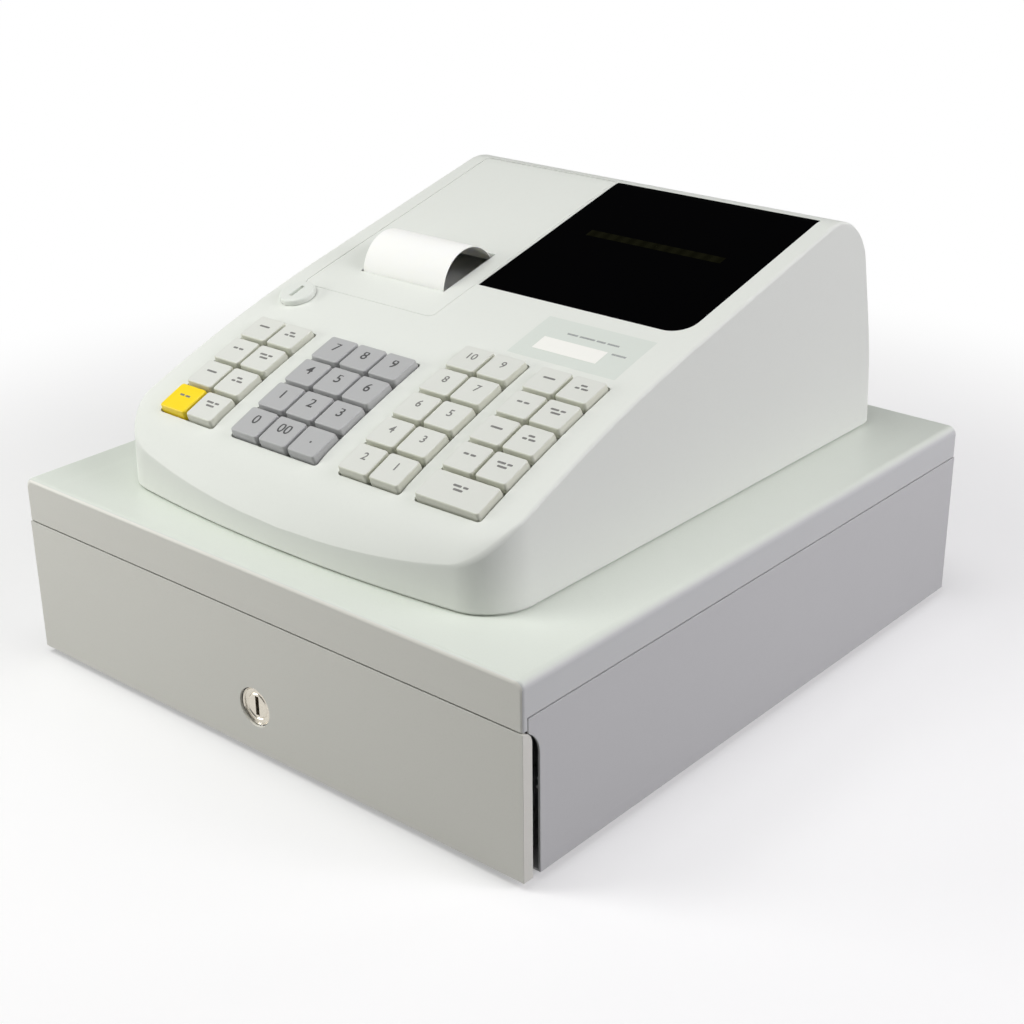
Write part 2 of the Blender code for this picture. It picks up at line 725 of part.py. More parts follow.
def seat_parts(name, left, right, front, rear, thickness, radii, rim, rear_gap=SEAT_GAP):
    """The frame, the rebate and the opening that a plate set into the deck needs."""
    gap = SEAT_GAP
    pocket_bottom = thickness + gap
    ledge_bottom = pocket_bottom + SEAT_THICKNESS
    frame = deck_plate(left - rim, right + rim, front - rim, rear + rim, thickness / 2, ledge_bottom)
    wide = [radius + gap if radius else 0 for radius in radii]
    limits = (left - gap, right + gap, front - gap, rear + rear_gap)
    seat = deck_plate(*limits, -OVERRUN, pocket_bottom, wide)
    ledge = SEAT_LEDGE
    limits = (left + ledge, right - ledge, front + ledge, rear - ledge)
    light = deck_plate(*limits, -OVERRUN, ledge_bottom + OVERRUN)
    roles = (("frame", frame), ("seat", seat), ("light", light))
    return [cutter(f"{name}_{role}", bm) for role, bm in roles]


def hinge_matrix(x):
    """The printer cover's hinge axis: its Z runs to the right."""
    point = on_deck(x, PANEL_REAR - HINGE_PIN_INSET, HINGE_PIN_INSET)
    return Matrix.Translation(point) @ Matrix.Rotation(math.pi / 2, 4, "Y")


def hinge_relief():
    """Room under the cover's rear edge, which swings down round its pins as the cover opens."""
    swing = HINGE_PIN_INSET * math.sqrt(2) + SEAT_GAP
    side = RUN_GAP
    front = PANEL_REAR - 2 * HINGE_PIN_INSET
    rear = PANEL_REAR + COVER_REAR_GAP + SEAT_GAP
    bottom = HINGE_PIN_INSET + swing
    return deck_plate(COVER_LEFT - side, COVER_RIGHT + side, front, rear, COVER_THICKNESS, bottom)


def build_upper_case():
    case = add_object("upper_case", loft(case_loops(0.0, CASE_BASE)), finish=WHITE_PLASTIC)
    cavity = loft(case_loops(CASE_WALL, CASE_BASE - OVERRUN))
    cut(case, cutter("case_cavity", cavity))
    front = deck_run(PANE_FRONT_DEPTH)
    radii = (0, PANE_CORNER, 0)
    window = seat_parts("window", PANE_LEFT, PANE_RIGHT, front, PANEL_REAR, PANE_THICKNESS, radii, SEAT_RIM)
    front = deck_run(COVER_FRONT_DEPTH)
    radii = (COVER_CORNER, COVER_CORNER, 0)
    rim = SEAT_RIM - RUN_GAP
    cover = seat_parts(
        "cover", COVER_LEFT, COVER_RIGHT, front, PANEL_REAR, COVER_THICKNESS, radii, rim, COVER_REAR_GAP
    )
    join(case, window[0])
    join(case, cover[0])
    add_display_bosses(case)
    for seat in window[1:] + cover[1:]:
        cut(case, seat)
    cut(case, cutter("hinge_relief", hinge_relief()))
    cut_wells(case)
    start = COVER_LEFT - SEAT_GAP - HINGE_PIN_LENGTH - SEAT_GAP
    end = PANE_LEFT
    bore = [(HINGE_BORE_RADIUS, 0), (HINGE_BORE_RADIUS, end - start)]
    cut(case, cutter("hinge_bore", turned(bore, hinge_matrix(start), PIN_SIDES)))
    lock_radius = MODE_LOCK_STEM_RADIUS + SEAT_GAP
    frame = deck_frame(MODE_LOCK_X, deck_run(MODE_LOCK_DEPTH))
    hole = turned([(lock_radius, -MODE_LOCK_STEM), (lock_radius, MODE_LOCK_RISE)], frame)
    cut(case, cutter("mode_lock_hole", hole))
    notch = place(GLAND_X, CASE_BACK - OVERRUN, CASE_BASE + GLAND_LIFT)
    frame = Matrix.Translation(notch) @ Matrix.Rotation(-math.pi / 2, 4, "X")
    radius = GLAND_RADIUS + SEAT_GAP
    cut(case, cutter("gland_hole", turned([(radius, 0), (radius, 2 * OVERRUN)], frame)))


def add_display_bosses(case):
    """Bosses under the window's frame that carry the display board."""
    bm = bmesh.new()
    top = PANE_THICKNESS + SEAT_GAP + SEAT_THICKNESS / 2
    side = DISPLAY_BOSS_SIDE
    for depth in (DISPLAY_BOARD_FRONT_DEPTH, DISPLAY_BOARD_REAR_DEPTH):
        inward = side if depth == DISPLAY_BOARD_FRONT_DEPTH else -side
        for x in (PANE_LEFT + side, PANE_RIGHT - side):
            frame = deck_frame(x, deck_run(depth + inward))
            add_square_post(bm, frame, side, -(DISPLAY_BOARD_DROP - SEAT_GAP), -top)
    join(case, cutter("display_bosses", bm))


def build_window():
    front = deck_run(PANE_FRONT_DEPTH)
    radii = (0, PANE_CORNER, 0)
    plate = deck_plate(PANE_LEFT, PANE_RIGHT, front, PANEL_REAR, 0.0, PANE_THICKNESS, radii)
    add_object("display_window", plate, finish=((0.004, 0.004, 0.005), 0.08))


def build_printer_cover():
    radii = (COVER_CORNER, COVER_CORNER, 0)
    front = deck_run(COVER_FRONT_DEPTH)
    plate = deck_plate(COVER_LEFT, COVER_RIGHT, front, PANEL_REAR, 0.0, COVER_THICKNESS, radii)
    axis = hinge_matrix(0.0).translation
    cover = add_object("printer_cover", plate, origin=axis, finish=WHITE_PLASTIC)
    slot_front = deck_run(SLOT_FRONT_DEPTH)
    slot = deck_plate(SLOT_LEFT, SLOT_RIGHT, slot_front, slot_front + SLOT_LENGTH, -OVERRUN, OVERRUN)
    cut(cover, cutter("paper_slot", slot))
    for name, x, length in (
        ("hinge_pin_left", COVER_LEFT - HINGE_PIN_LENGTH, 2 * HINGE_PIN_LENGTH),
        ("hinge_pin_right", COVER_RIGHT - RIB_PIN_LENGTH, 2 * RIB_PIN_LENGTH),
    ):
        pin = turned([(HINGE_PIN_RADIUS, 0), (HINGE_PIN_RADIUS, length)], hinge_matrix(x), PIN_SIDES)
        join(cover, cutter(name, pin))


# Keys


def key_loop(frame, half_x, half_y, corner, height):
    points = []
    for x, y in rounded_chamfer(half_x, half_y, corner):
        points.append(frame @ Vector((x, y, height)))
    return points


def rounded_chamfer(half_x, half_y, corner):
    return [
        (half_x, -half_y + corner),
        (half_x, half_y - corner),
        (half_x - corner, half_y),
        (-half_x + corner, half_y),
        (-half_x, half_y - corner),
        (-half_x, -half_y + corner),
        (-half_x + corner, -half_y),
        (half_x - corner, -half_y),
    ]


def build_keys():
    for name, left, right, run, columns in key_places():
        half_x = (right - left) / 2
        half_y = (ROW_PITCH - ROW_GAP) / 2
        middle = (left + right) / 2
        frame = deck_frame(middle, run)
        bevel = KEY_BEVEL
        loops = [
            key_loop(frame, half_x, half_y, KEY_CORNER, -KEY_SKIRT),
            key_loop(frame, half_x, half_y, KEY_CORNER, KEY_RISE - bevel),
            key_loop(frame, half_x - bevel, half_y - bevel, KEY_CORNER - bevel / 2, KEY_RISE),
        ]
        finish = ((0.80, 0.81, 0.77), 0.4)
        if name.startswith("key_number"):
            finish = ((0.50, 0.50, 0.52), 0.4)
        if name == YELLOW_KEY:
            finish = ((0.90, 0.62, 0.02), 0.4)
        key = add_object(name, loft(loops), origin=frame.translation, finish=finish)
        bm = bmesh.new()
        foot_top = -(FLOOR_BOTTOM + SEAT_GAP)
        foot = foot_top - KEY_FOOT_THICKNESS
        for x in stem_centres(left, right, columns):
            stem = deck_frame(x, run)
            loops = []
            for side, height in (
                (KEY_STEM, -KEY_SKIRT / 2),
                (KEY_STEM, foot_top),
                (KEY_FOOT, foot_top),
                (KEY_FOOT, foot),
            ):
                half = side / 2
                corners = ((-half, -half), (half, -half), (half, half), (-half, half))
                loops.append([stem @ Vector((cx, cy, height)) for cx, cy in corners])
            add_loft(bm, loops)
        join(key, cutter(f"{name}_stem", bm))


YELLOW_KEY = "key_left_07"


# Mode lock and the boards


def build_mode_lock():
    frame = deck_frame(MODE_LOCK_X, deck_run(MODE_LOCK_DEPTH))
    head = MODE_LOCK_RADIUS
    bevel = MODE_LOCK_RISE / 4
    profile = [
        (MODE_LOCK_STEM_RADIUS, -MODE_LOCK_STEM),
        (MODE_LOCK_STEM_RADIUS, SEAT_GAP),
        (head, SEAT_GAP),
        (head, MODE_LOCK_RISE - bevel),
        (head - bevel, MODE_LOCK_RISE),
    ]
    head = turned(profile, frame)
    lock = add_object("mode_lock", head, origin=frame.translation, finish=WHITE_PLASTIC, smooth=True)
    bm = bmesh.new()
    half_length = KEYWAY_HEIGHT / 2
    half_width = KEYWAY_WIDTH / 2
    corners = (
        (-half_width, -half_length),
        (half_width, -half_length),
        (half_width, half_length),
        (-half_width, half_length),
    )
    floor = MODE_LOCK_RISE - KEYWAY_WIDTH
    add_loft(bm, [[frame @ Vector((x, y, z)) for x, y in corners] for z in (floor, MODE_LOCK_RISE + OVERRUN)])
    cut(lock, cutter("mode_lock_keyway", bm))


def build_main_board():
    """The flat board under the keys, level with the deck in the middle of the blocks."""
    left = LEFT_BLOCK_X - BOARD_OVERHANG
    right = TOTAL_BLOCK_X + 2 * KEY_PITCH + BOARD_OVERHANG
    half = KEY_ROWS * ROW_PITCH / 2 + BOARD_OVERHANG
    frame = deck_frame((left + right) / 2, BOARD_RUN, BOARD_DROP)
    half_x = (right - left) / 2
    corners = ((-half_x, -half), (half_x, -half), (half_x, half), (-half_x, half))
    loops = [[frame @ Vector((x, y, z)) for x, y in corners] for z in (-BOARD_THICKNESS, 0.0)]
    add_object("main_board", loft(loops), finish=((0.03, 0.16, 0.07), 0.5))


def build_display_board():
    front = deck_run(DISPLAY_BOARD_FRONT_DEPTH)
    rear = deck_run(DISPLAY_BOARD_REAR_DEPTH)
    drop = DISPLAY_BOARD_DROP
    board = deck_plate(PANE_LEFT, PANE_RIGHT, front, rear, drop, drop + BOARD_THICKNESS)
    made = add_object("display_board", board, finish=((0.03, 0.16, 0.07), 0.5))
    middle = (PANE_LEFT + PANE_RIGHT) / 2
    run = (front + rear) / 2
    glass = deck_plate(
        middle - DISPLAY_GLASS_WIDTH / 2,
        middle + DISPLAY_GLASS_WIDTH / 2,
        run - DISPLAY_GLASS_LENGTH / 2,
        run + DISPLAY_GLASS_LENGTH / 2,
        drop - DISPLAY_GLASS_THICKNESS,
        drop + BOARD_THICKNESS / 2,
    )
    join(made, cutter("display_glass", glass))


# Ticket printer


def across(x, depth, height):
    """A matrix whose Z runs to the right."""
    return Matrix.Translation(place(x, depth, height)) @ Matrix.Rotation(math.pi / 2, 4, "Y")


def roll_height():
    """The roll hangs on its spindle between the frame's floor and the cover, nearer to the floor."""
    floor = FRAME_FLOOR + FRAME_SHEET
    cover = deck_point(deck_run(ROLL_DEPTH), COVER_THICKNESS).y
    return floor + ROLL_RADIUS + ROLL_LIFT_SHARE * (cover - floor - 2 * ROLL_RADIUS)


ROLL_HEIGHT = roll_height()
PLATEN_DEPTH = PAPER_FRONT_DEPTH - SEAT_GAP - PLATEN_RADIUS
PLATEN_HEIGHT = deck_point(deck_run(PLATEN_DEPTH)).y - PLATEN_DROP
FRAME_NOSE_HEIGHT = PLATEN_HEIGHT + FRAME_NOSE_RISE
CURL_CENTRE_HEIGHT = deck_point(deck_run(PAPER_FRONT_DEPTH)).y - CURL_CENTRE_DROP
CHEEK_LEFT = PAPER_LEFT - FRAME_SIDE_GAP
CHEEK_RIGHT = PAPER_RIGHT + FRAME_SIDE_GAP
SPINDLE_RADIUS = ROLL_CORE_RADIUS - SEAT_GAP


def build_printer_frame():
    floor = FRAME_FLOOR
    top = floor + FRAME_SHEET
    sheet = FRAME_SHEET
    left = CHEEK_LEFT - sheet
    right = CHEEK_RIGHT + sheet
    base = box((left, FRAME_FRONT_DEPTH, floor), (right, FRAME_REAR_DEPTH, top))
    frame = add_object("printer_frame", base, finish=((0.45, 0.46, 0.48), 0.35, 1.0))
    ends = (FRAME_FRONT_DEPTH, FRAME_REAR_DEPTH)
    crown = [deck_point(deck_run(depth), FRAME_CROWN) for depth in ends]
    outline = [
        (FRAME_FRONT_DEPTH, floor + sheet / 2),
        (FRAME_REAR_DEPTH, floor + sheet / 2),
        (crown[1].x, min(crown[1].y, ROLL_HEIGHT + ROLL_RADIUS)),
        (ROLL_DEPTH, ROLL_HEIGHT + ROLL_RADIUS),
        (PLATEN_DEPTH + 2 * PLATEN_RADIUS, FRAME_NOSE_HEIGHT),
        (FRAME_FRONT_DEPTH, min(crown[0].y, FRAME_NOSE_HEIGHT)),
    ]
    for name, x in (("cheek_left", CHEEK_LEFT - sheet), ("cheek_right", CHEEK_RIGHT)):
        join(frame, cutter(name, side_prism(outline, x, x + sheet)))
    start = CHEEK_LEFT - sheet / 2
    length = CHEEK_RIGHT + sheet / 2 - start
    spindle = turned([(SPINDLE_RADIUS, 0), (SPINDLE_RADIUS, length)], across(start, ROLL_DEPTH, ROLL_HEIGHT))
    join(frame, cutter("spindle", spindle))
    radius = PLATEN_SHAFT_RADIUS + SEAT_GAP / 2
    start = CHEEK_LEFT - OVERRUN
    length = CHEEK_RIGHT + OVERRUN - start
    bore = turned([(radius, 0), (radius, length)], across(start, PLATEN_DEPTH, PLATEN_HEIGHT))
    cut(frame, cutter("platen_bore", bore))


def build_platen():
    shaft = FRAME_SHEET + 2 * FRAME_SIDE_GAP
    body = PAPER_WIDTH
    radius = PLATEN_SHAFT_RADIUS
    profile = [
        (radius, -shaft),
        (radius, 0),
        (PLATEN_RADIUS, 0),
        (PLATEN_RADIUS, body),
        (radius, body),
        (radius, body + shaft),
    ]
    matrix = across(PAPER_LEFT, PLATEN_DEPTH, PLATEN_HEIGHT)
    made = turned(profile, matrix)
    rubber = ((0.03, 0.03, 0.03), 0.7)
    add_object("platen_roller", made, origin=matrix.translation, finish=rubber, smooth=True)


def build_paper_roll():
    matrix = across(PAPER_LEFT, ROLL_DEPTH, ROLL_HEIGHT)
    bm = turned([(ROLL_RADIUS, 0), (ROLL_RADIUS, PAPER_WIDTH)], matrix)
    paper = ((0.9, 0.9, 0.88), 0.8)
    roll = add_object("paper_roll", bm, origin=matrix.translation, finish=paper, smooth=True)
    core = turned([(ROLL_CORE_RADIUS, -OVERRUN), (ROLL_CORE_RADIUS, PAPER_WIDTH + OVERRUN)], matrix)
    cut(roll, cutter("roll_core", core))


def build_receipt():
    """The printed strip: up from the platen, through the slot, and curled over to the back."""
    centre = (PAPER_FRONT_DEPTH + CURL_RADIUS, CURL_CENTRE_HEIGHT)
    outer = arc(centre, CURL_RADIUS, math.pi, math.pi - CURL_SWEEP, ARC_STEP)
    inner = arc(centre, CURL_RADIUS - PAPER_THICKNESS, math.pi - CURL_SWEEP, math.pi, ARC_STEP)
    foot = CURL_CENTRE_HEIGHT - PAPER_DROP
    outline = [(PAPER_FRONT_DEPTH, foot)] + outer + inner + [(PAPER_FRONT_DEPTH + PAPER_THICKNESS, foot)]
    strip = side_prism(outline, PAPER_LEFT, PAPER_RIGHT)
    add_object("receipt_paper", strip, finish=((0.95, 0.95, 0.92), 0.8))


# Chassis of the register


def plan_outline(inset):
    """The housing's outline on the lid, this far inside its walls."""
    right = []
    for depth in case_depths(0.0):
        right.append((case_half_width(depth, 0.0), depth))
    centre = (CASE_FRONT + CASE_BACK) / 2
    half_length = (CASE_BACK - CASE_FRONT) / 2
    stretch_x = (CASE_HALF_WIDTH - inset) / CASE_HALF_WIDTH
    stretch_y = (half_length - inset) / half_length
    scaled = [(x * stretch_x, centre + (depth - centre) * stretch_y) for x, depth in right]
    return scaled + [(-x, depth) for x, depth in reversed(scaled)]


def build_chassis():
    outer = plan_outline(CHASSIS_SET_IN)
    rim = CASE_BASE + CHASSIS_RIM
    finish = ((0.12, 0.12, 0.12), 0.6)
    chassis = add_object("base_chassis", plan_prism(outer, CASE_BASE, rim), finish=finish)
    floor = CASE_BASE + CHASSIS_FLOOR
    inner = plan_prism(plan_outline(CHASSIS_SET_IN + CASE_WALL), floor, rim + OVERRUN)
    cut(chassis, cutter("chassis_hollow", inner))
    radius = GLAND_RADIUS
    low = GLAND_LIFT - radius + CHASSIS_FLOOR
    start = CASE_BACK - CHASSIS_SET_IN - 2 * CASE_WALL
    length = CASE_BACK + GLAND_REACH - start
    turn = Matrix.Rotation(-math.pi / 2, 4, "X")
    matrix = Matrix.Translation(place(GLAND_X, start, CASE_BASE + GLAND_LIFT)) @ turn
    join(chassis, cutter("gland", turned([(radius, 0), (radius, length)], matrix)))
    seat = box(
        (GLAND_X - radius, start, CASE_BASE + CHASSIS_FLOOR / 2),
        (GLAND_X + radius, start + 2 * CASE_WALL, CASE_BASE + CHASSIS_FLOOR + low),
    )
    join(chassis, cutter("gland_seat", seat))
    bore = turned([(GLAND_BORE_RADIUS, -OVERRUN), (GLAND_BORE_RADIUS, length + OVERRUN)], matrix)
    cut(chassis, cutter("gland_bore", bore))


# Cash drawer


def build_cabinet():
    half = CABINET_WIDTH / 2
    sheet = CABINET_SHEET
    inner = CABINET_INNER_HALF
    block = box((-half, CABINET_SET_BACK, 0), (half, CABINET_DEPTH, CABINET_HEIGHT))
    cabinet = add_object("cabinet", block, finish=GREY_PAINT)
    hollow = box(
        (-inner, CABINET_SET_BACK - OVERRUN, sheet),
        (inner, CABINET_DEPTH - sheet, CABINET_HEIGHT - sheet),
    )
    cut(cabinet, cutter("cabinet_hollow", hollow))
    reach = half - CABINET_FLANGE
    top = box(
        (-reach, CABINET_SET_BACK - OVERRUN, CABINET_HEIGHT - 2 * sheet),
        (reach, CABINET_DEPTH - CABINET_FLANGE, CABINET_HEIGHT + OVERRUN),
    )
    cut(cabinet, cutter("cabinet_top_opening", top))
    centre = (CABINET_SET_BACK - CABINET_NOSE_RADIUS, CABINET_NOSE_LIFT - CABINET_NOSE_RADIUS)
    curve = [
        (depth, height)
        for depth, height in arc(centre, CABINET_NOSE_RADIUS, 0, math.pi / 2)
        if depth > CABINET_NOSE_FRONT
    ]
    back = CABINET_SET_BACK + sheet
    outline = [(back, CABINET_NOSE_LIFT - CABINET_NOSE_RADIUS)] + curve
    outline += [(CABINET_NOSE_FRONT, CABINET_NOSE_LIFT), (CABINET_NOSE_FRONT, CABINET_HEIGHT)]
    outline += [(back, CABINET_HEIGHT)]
    for side, x in (("left", -half), ("right", inner)):
        join(cabinet, cutter(f"cabinet_nose_{side}", side_prism(outline, x, x + sheet)))
    for side, sign in (("left", -1), ("right", 1)):
        ends = sorted((sign * (inner + sheet / 2), sign * (BOX_HALF_WIDTH + RAIL_SIDE_GAP)))
        start = CABINET_SET_BACK + RAIL_FRONT_INSET
        rail = box((ends[0], start, RAIL_LIFT - sheet), (ends[1], BOX_REAR, RAIL_LIFT))
        join(cabinet, cutter(f"rail_{side}", rail))


def build_lid():
    half = CABINET_WIDTH / 2
    edge = LID_EDGE_RADIUS
    corner = LID_CORNER_RADIUS
    loops = []
    levels = [(0.0, LID_BAND_BOTTOM)]
    for x, height in arc((0, LID_TOP - edge), edge, 0, math.pi / 2, ARC_STEP * 2):
        levels.append((edge - x, height))
    for inset, height in levels:
        outline = rounded_rectangle(-half + inset, inset, half - inset, CABINET_DEPTH - inset, corner - inset)
        loops.append([place(x, depth, height) for x, depth in outline])
    lid = add_object("lid", loft(loops), finish=((0.68, 0.71, 0.67), 0.40))
    sheet = LID_SHEET
    hollow = box(
        (-half + sheet, LID_BAND_DEPTH, LID_BAND_BOTTOM - OVERRUN),
        (half - sheet, CABINET_DEPTH - sheet, LID_TOP - sheet - sheet),
    )
    cut(lid, cutter("lid_hollow", hollow))
    below = box(
        (-half - OVERRUN, LID_BAND_DEPTH, LID_BAND_BOTTOM - OVERRUN),
        (half + OVERRUN, CABINET_DEPTH + OVERRUN, LID_SKIRT_BOTTOM),
    )
    cut(lid, cutter("lid_below_skirt", below))
    strike_half = STRIKE_WIDTH / 2
    tab = box(
        (-strike_half, STRIKE_FRONT, LID_TOP - STRIKE_LENGTH),
        (strike_half, STRIKE_FRONT + STRIKE_SHEET, LID_TOP - sheet),
    )
    join(lid, cutter("lock_strike", tab))


def build_feet():
    reach = CABINET_WIDTH / 2 - FOOT_SIDE_INSET
    for side, x in (("left", -reach), ("right", reach)):
        for end, depth in (("front", FOOT_FRONT_INSET), ("rear", CABINET_DEPTH - FOOT_REAR_INSET)):
            matrix = Matrix.Translation(place(x, depth, -FOOT_HEIGHT))
            profile = [(FOOT_RADIUS - FOOT_TAPER, 0), (FOOT_RADIUS, FOOT_HEIGHT - SEAT_GAP)]
            made = turned(profile, matrix, FOOT_SIDES)
            finish = ((0.04, 0.04, 0.04), 0.8)
            add_object(f"foot_{end}_{side}", made, origin=matrix.translation, finish=finish, smooth=True)


def build_drawer_front():
    half = CABINET_WIDTH / 2
    deep = PANEL_RETURN
    outline = [(0, 0), (deep, 0)]
    outline += arc((0, PANEL_HEIGHT - deep), deep, 0, math.pi / 2)
    panel = add_object("drawer_front", side_prism(outline, -half, half), finish=GREY_PAINT)
    sheet = PANEL_SHEET
    hollow = box((-half + sheet, sheet, sheet), (half - sheet, deep + OVERRUN, PANEL_HEIGHT - sheet))
    cut(panel, cutter("panel_hollow", hollow))
    radius = DRAWER_LOCK_RADIUS + SEAT_GAP
    cut(panel, cutter("lock_hole", turned([(radius, 0), (radius, OVERRUN)], lock_matrix(-OVERRUN / 2))))


def lock_matrix(depth):
    """The drawer lock's axis: its Z runs to the back."""
    turn = Matrix.Rotation(-math.pi / 2, 4, "X")
    return Matrix.Translation(place(0, depth, DRAWER_LOCK_HEIGHT)) @ turn


def build_drawer_box():
    half = BOX_HALF_WIDTH
    sheet = BOX_SHEET
    rear = BOX_REAR
    block = box((-half, BOX_FRONT, BOX_BOTTOM), (half, rear, BOX_TOP))
    drawer = add_object("drawer_box", block, finish=GREY_PAINT)
    hollow = box(
        (-half + sheet, BOX_FRONT + sheet, BOX_BOTTOM + sheet),
        (half - sheet, rear - sheet, BOX_TOP + OVERRUN),
    )
    cut(drawer, cutter("box_hollow", hollow))
    radius = DRAWER_LOCK_RADIUS + SEAT_GAP
    cut(drawer, cutter("box_lock_hole", turned([(radius, 0), (radius, OVERRUN)], lock_matrix(-OVERRUN / 2))))
    for side, sign in (("left", -1), ("right", 1)):
        ends = sorted((sign * (half - sheet / 2), sign * (CABINET_INNER_HALF - RUNNER_SIDE_GAP)))
        start = BOX_FRONT + 2 * OVERRUN
        low = RAIL_LIFT + SEAT_GAP
        runner = box((ends[0], start, low), (ends[1], rear, low + sheet))
        join(drawer, cutter(f"runner_{side}", runner))


def tray_cells():
    """(low corner, high corner) of each compartment, coins in front and notes behind."""
    wall = TRAY_WALL
    low = TRAY_BOTTOM + TRAY_FLOOR
    cells = []
    coin_front = TRAY_FRONT + wall
    coin_rear = TRAY_FRONT + TRAY_COIN_LENGTH
    rows = (
        (TRAY_COIN_COLUMNS, coin_front, coin_rear),
        (TRAY_NOTE_COLUMNS, coin_rear + wall, TRAY_REAR - wall),
    )
    for columns, front, rear in rows:
        pitch = (2 * TRAY_HALF_WIDTH - wall) / columns
        for column in range(columns):
            left = -TRAY_HALF_WIDTH + wall + column * pitch
            cells.append(((left, front, low), (left + pitch - wall, rear, TRAY_TOP)))
    return cells


def build_cash_tray():
    half = TRAY_HALF_WIDTH
    block = box((-half, TRAY_FRONT, TRAY_BOTTOM), (half, TRAY_REAR, TRAY_TOP))
    tray = add_object("cash_tray", block, finish=((0.05, 0.05, 0.055), 0.55))
    bm = bmesh.new()
    for low, high in tray_cells():
        add_box(bm, low, (high[0], high[1], high[2] + OVERRUN))
    cut(tray, cutter("tray_cells", bm))


def build_drawer_lock():
    recess = DRAWER_LOCK_RECESS
    matrix = lock_matrix(recess)
    radius = DRAWER_LOCK_RADIUS
    bevel = recess / 2
    profile = [(radius - bevel, 0), (radius, bevel), (radius, DRAWER_LOCK_LENGTH)]
    metal = ((0.62, 0.58, 0.50), 0.3, 1.0)
    barrel = turned(profile, matrix)
    lock = add_object("drawer_lock", barrel, origin=matrix.translation, finish=metal, smooth=True)
    half = DRAWER_LOCK_CAM_WIDTH / 2
    cam = box(
        (-half, CAM_FRONT, DRAWER_LOCK_HEIGHT - half),
        (DRAWER_LOCK_CAM, CAM_FRONT + DRAWER_LOCK_CAM_SHEET, DRAWER_LOCK_HEIGHT + half),
    )
    join(lock, cutter("lock_cam", cam))
    keyway = box(
        (-KEYWAY_WIDTH / 2, recess - OVERRUN, DRAWER_LOCK_HEIGHT - KEYWAY_HEIGHT / 2),
        (KEYWAY_WIDTH / 2, recess + KEYWAY_DEPTH, DRAWER_LOCK_HEIGHT + KEYWAY_HEIGHT / 2),
    )
    cut(lock, cutter("lock_keyway", keyway))


def clear_scene():
    for obj in list(bpy.data.objects):
        bpy.data.objects.remove(obj, do_unlink=True)


def main():
    clear_scene()
    build_cabinet()
    build_lid()
    build_feet()
    build_drawer_front()
    build_drawer_box()
    build_cash_tray()
    build_drawer_lock()
    build_chassis()
    build_upper_case()
    build_window()
    build_printer_cover()
    build_keys()
    build_mode_lock()
    build_main_board()
    build_display_board()
    build_printer_frame()
    build_platen()
    build_paper_roll()
    build_receipt()


main()
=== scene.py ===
import math

import bmesh
import bpy
from mathutils import Matrix, Vector


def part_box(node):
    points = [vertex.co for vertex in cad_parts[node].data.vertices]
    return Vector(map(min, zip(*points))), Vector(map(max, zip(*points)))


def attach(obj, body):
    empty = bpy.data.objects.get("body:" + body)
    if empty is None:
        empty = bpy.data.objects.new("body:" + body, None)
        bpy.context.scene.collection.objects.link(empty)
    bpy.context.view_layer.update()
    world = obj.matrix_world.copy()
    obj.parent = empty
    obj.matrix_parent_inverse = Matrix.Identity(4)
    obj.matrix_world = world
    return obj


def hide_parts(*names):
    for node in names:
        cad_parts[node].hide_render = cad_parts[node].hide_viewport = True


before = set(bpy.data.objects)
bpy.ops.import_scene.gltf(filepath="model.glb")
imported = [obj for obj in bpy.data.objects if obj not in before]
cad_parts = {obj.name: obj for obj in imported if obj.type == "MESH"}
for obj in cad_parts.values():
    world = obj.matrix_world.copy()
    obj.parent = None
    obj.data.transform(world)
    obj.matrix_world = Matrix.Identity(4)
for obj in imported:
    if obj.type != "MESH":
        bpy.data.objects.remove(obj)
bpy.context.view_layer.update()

# The photograph's camera, solved from the drawer's edges and the key grid
PHOTO_PIXELS = 1024
FOCAL_PIXELS = 1800.79
SENSOR_WIDTH = 36.0
CAMERA_PLACE = (0.57074, -0.65327, 0.45517)
CAMERA_YAW = math.radians(40.891)
CAMERA_PITCH = math.radians(24.202)
CAMERA_ROLL = math.radians(-0.662)


def add_object(name, data):
    made = bpy.data.objects.new(name, data)
    bpy.context.scene.collection.objects.link(made)
    return made


def make_camera():
    data = bpy.data.cameras.new("camera")
    data.sensor_width = SENSOR_WIDTH
    data.lens = SENSOR_WIDTH * FOCAL_PIXELS / PHOTO_PIXELS
    camera = add_object("camera", data)
    aim = Matrix.Rotation(CAMERA_YAW, 4, "Z") @ Matrix.Rotation(math.pi / 2 - CAMERA_PITCH, 4, "X")
    camera.matrix_world = Matrix.Translation(CAMERA_PLACE) @ aim @ Matrix.Rotation(CAMERA_ROLL, 4, "Z")
    bpy.context.scene.camera = camera


# Sizes read from the frame
LID_LOW, LID_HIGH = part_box("lid")
CABINET_LOW, CABINET_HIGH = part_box("cabinet")
CASE_LOW, CASE_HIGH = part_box("upper_case")
PAPER_LOW, PAPER_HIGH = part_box("receipt_paper")
ORIGIN_DEPTH = -LID_LOW.y
FOOT_HEIGHT = CABINET_LOW.z
LID_TOP = LID_HIGH.z - FOOT_HEIGHT
CASE_BASE = CASE_LOW.z - FOOT_HEIGHT
CASE_HALF_WIDTH = CASE_HIGH.x

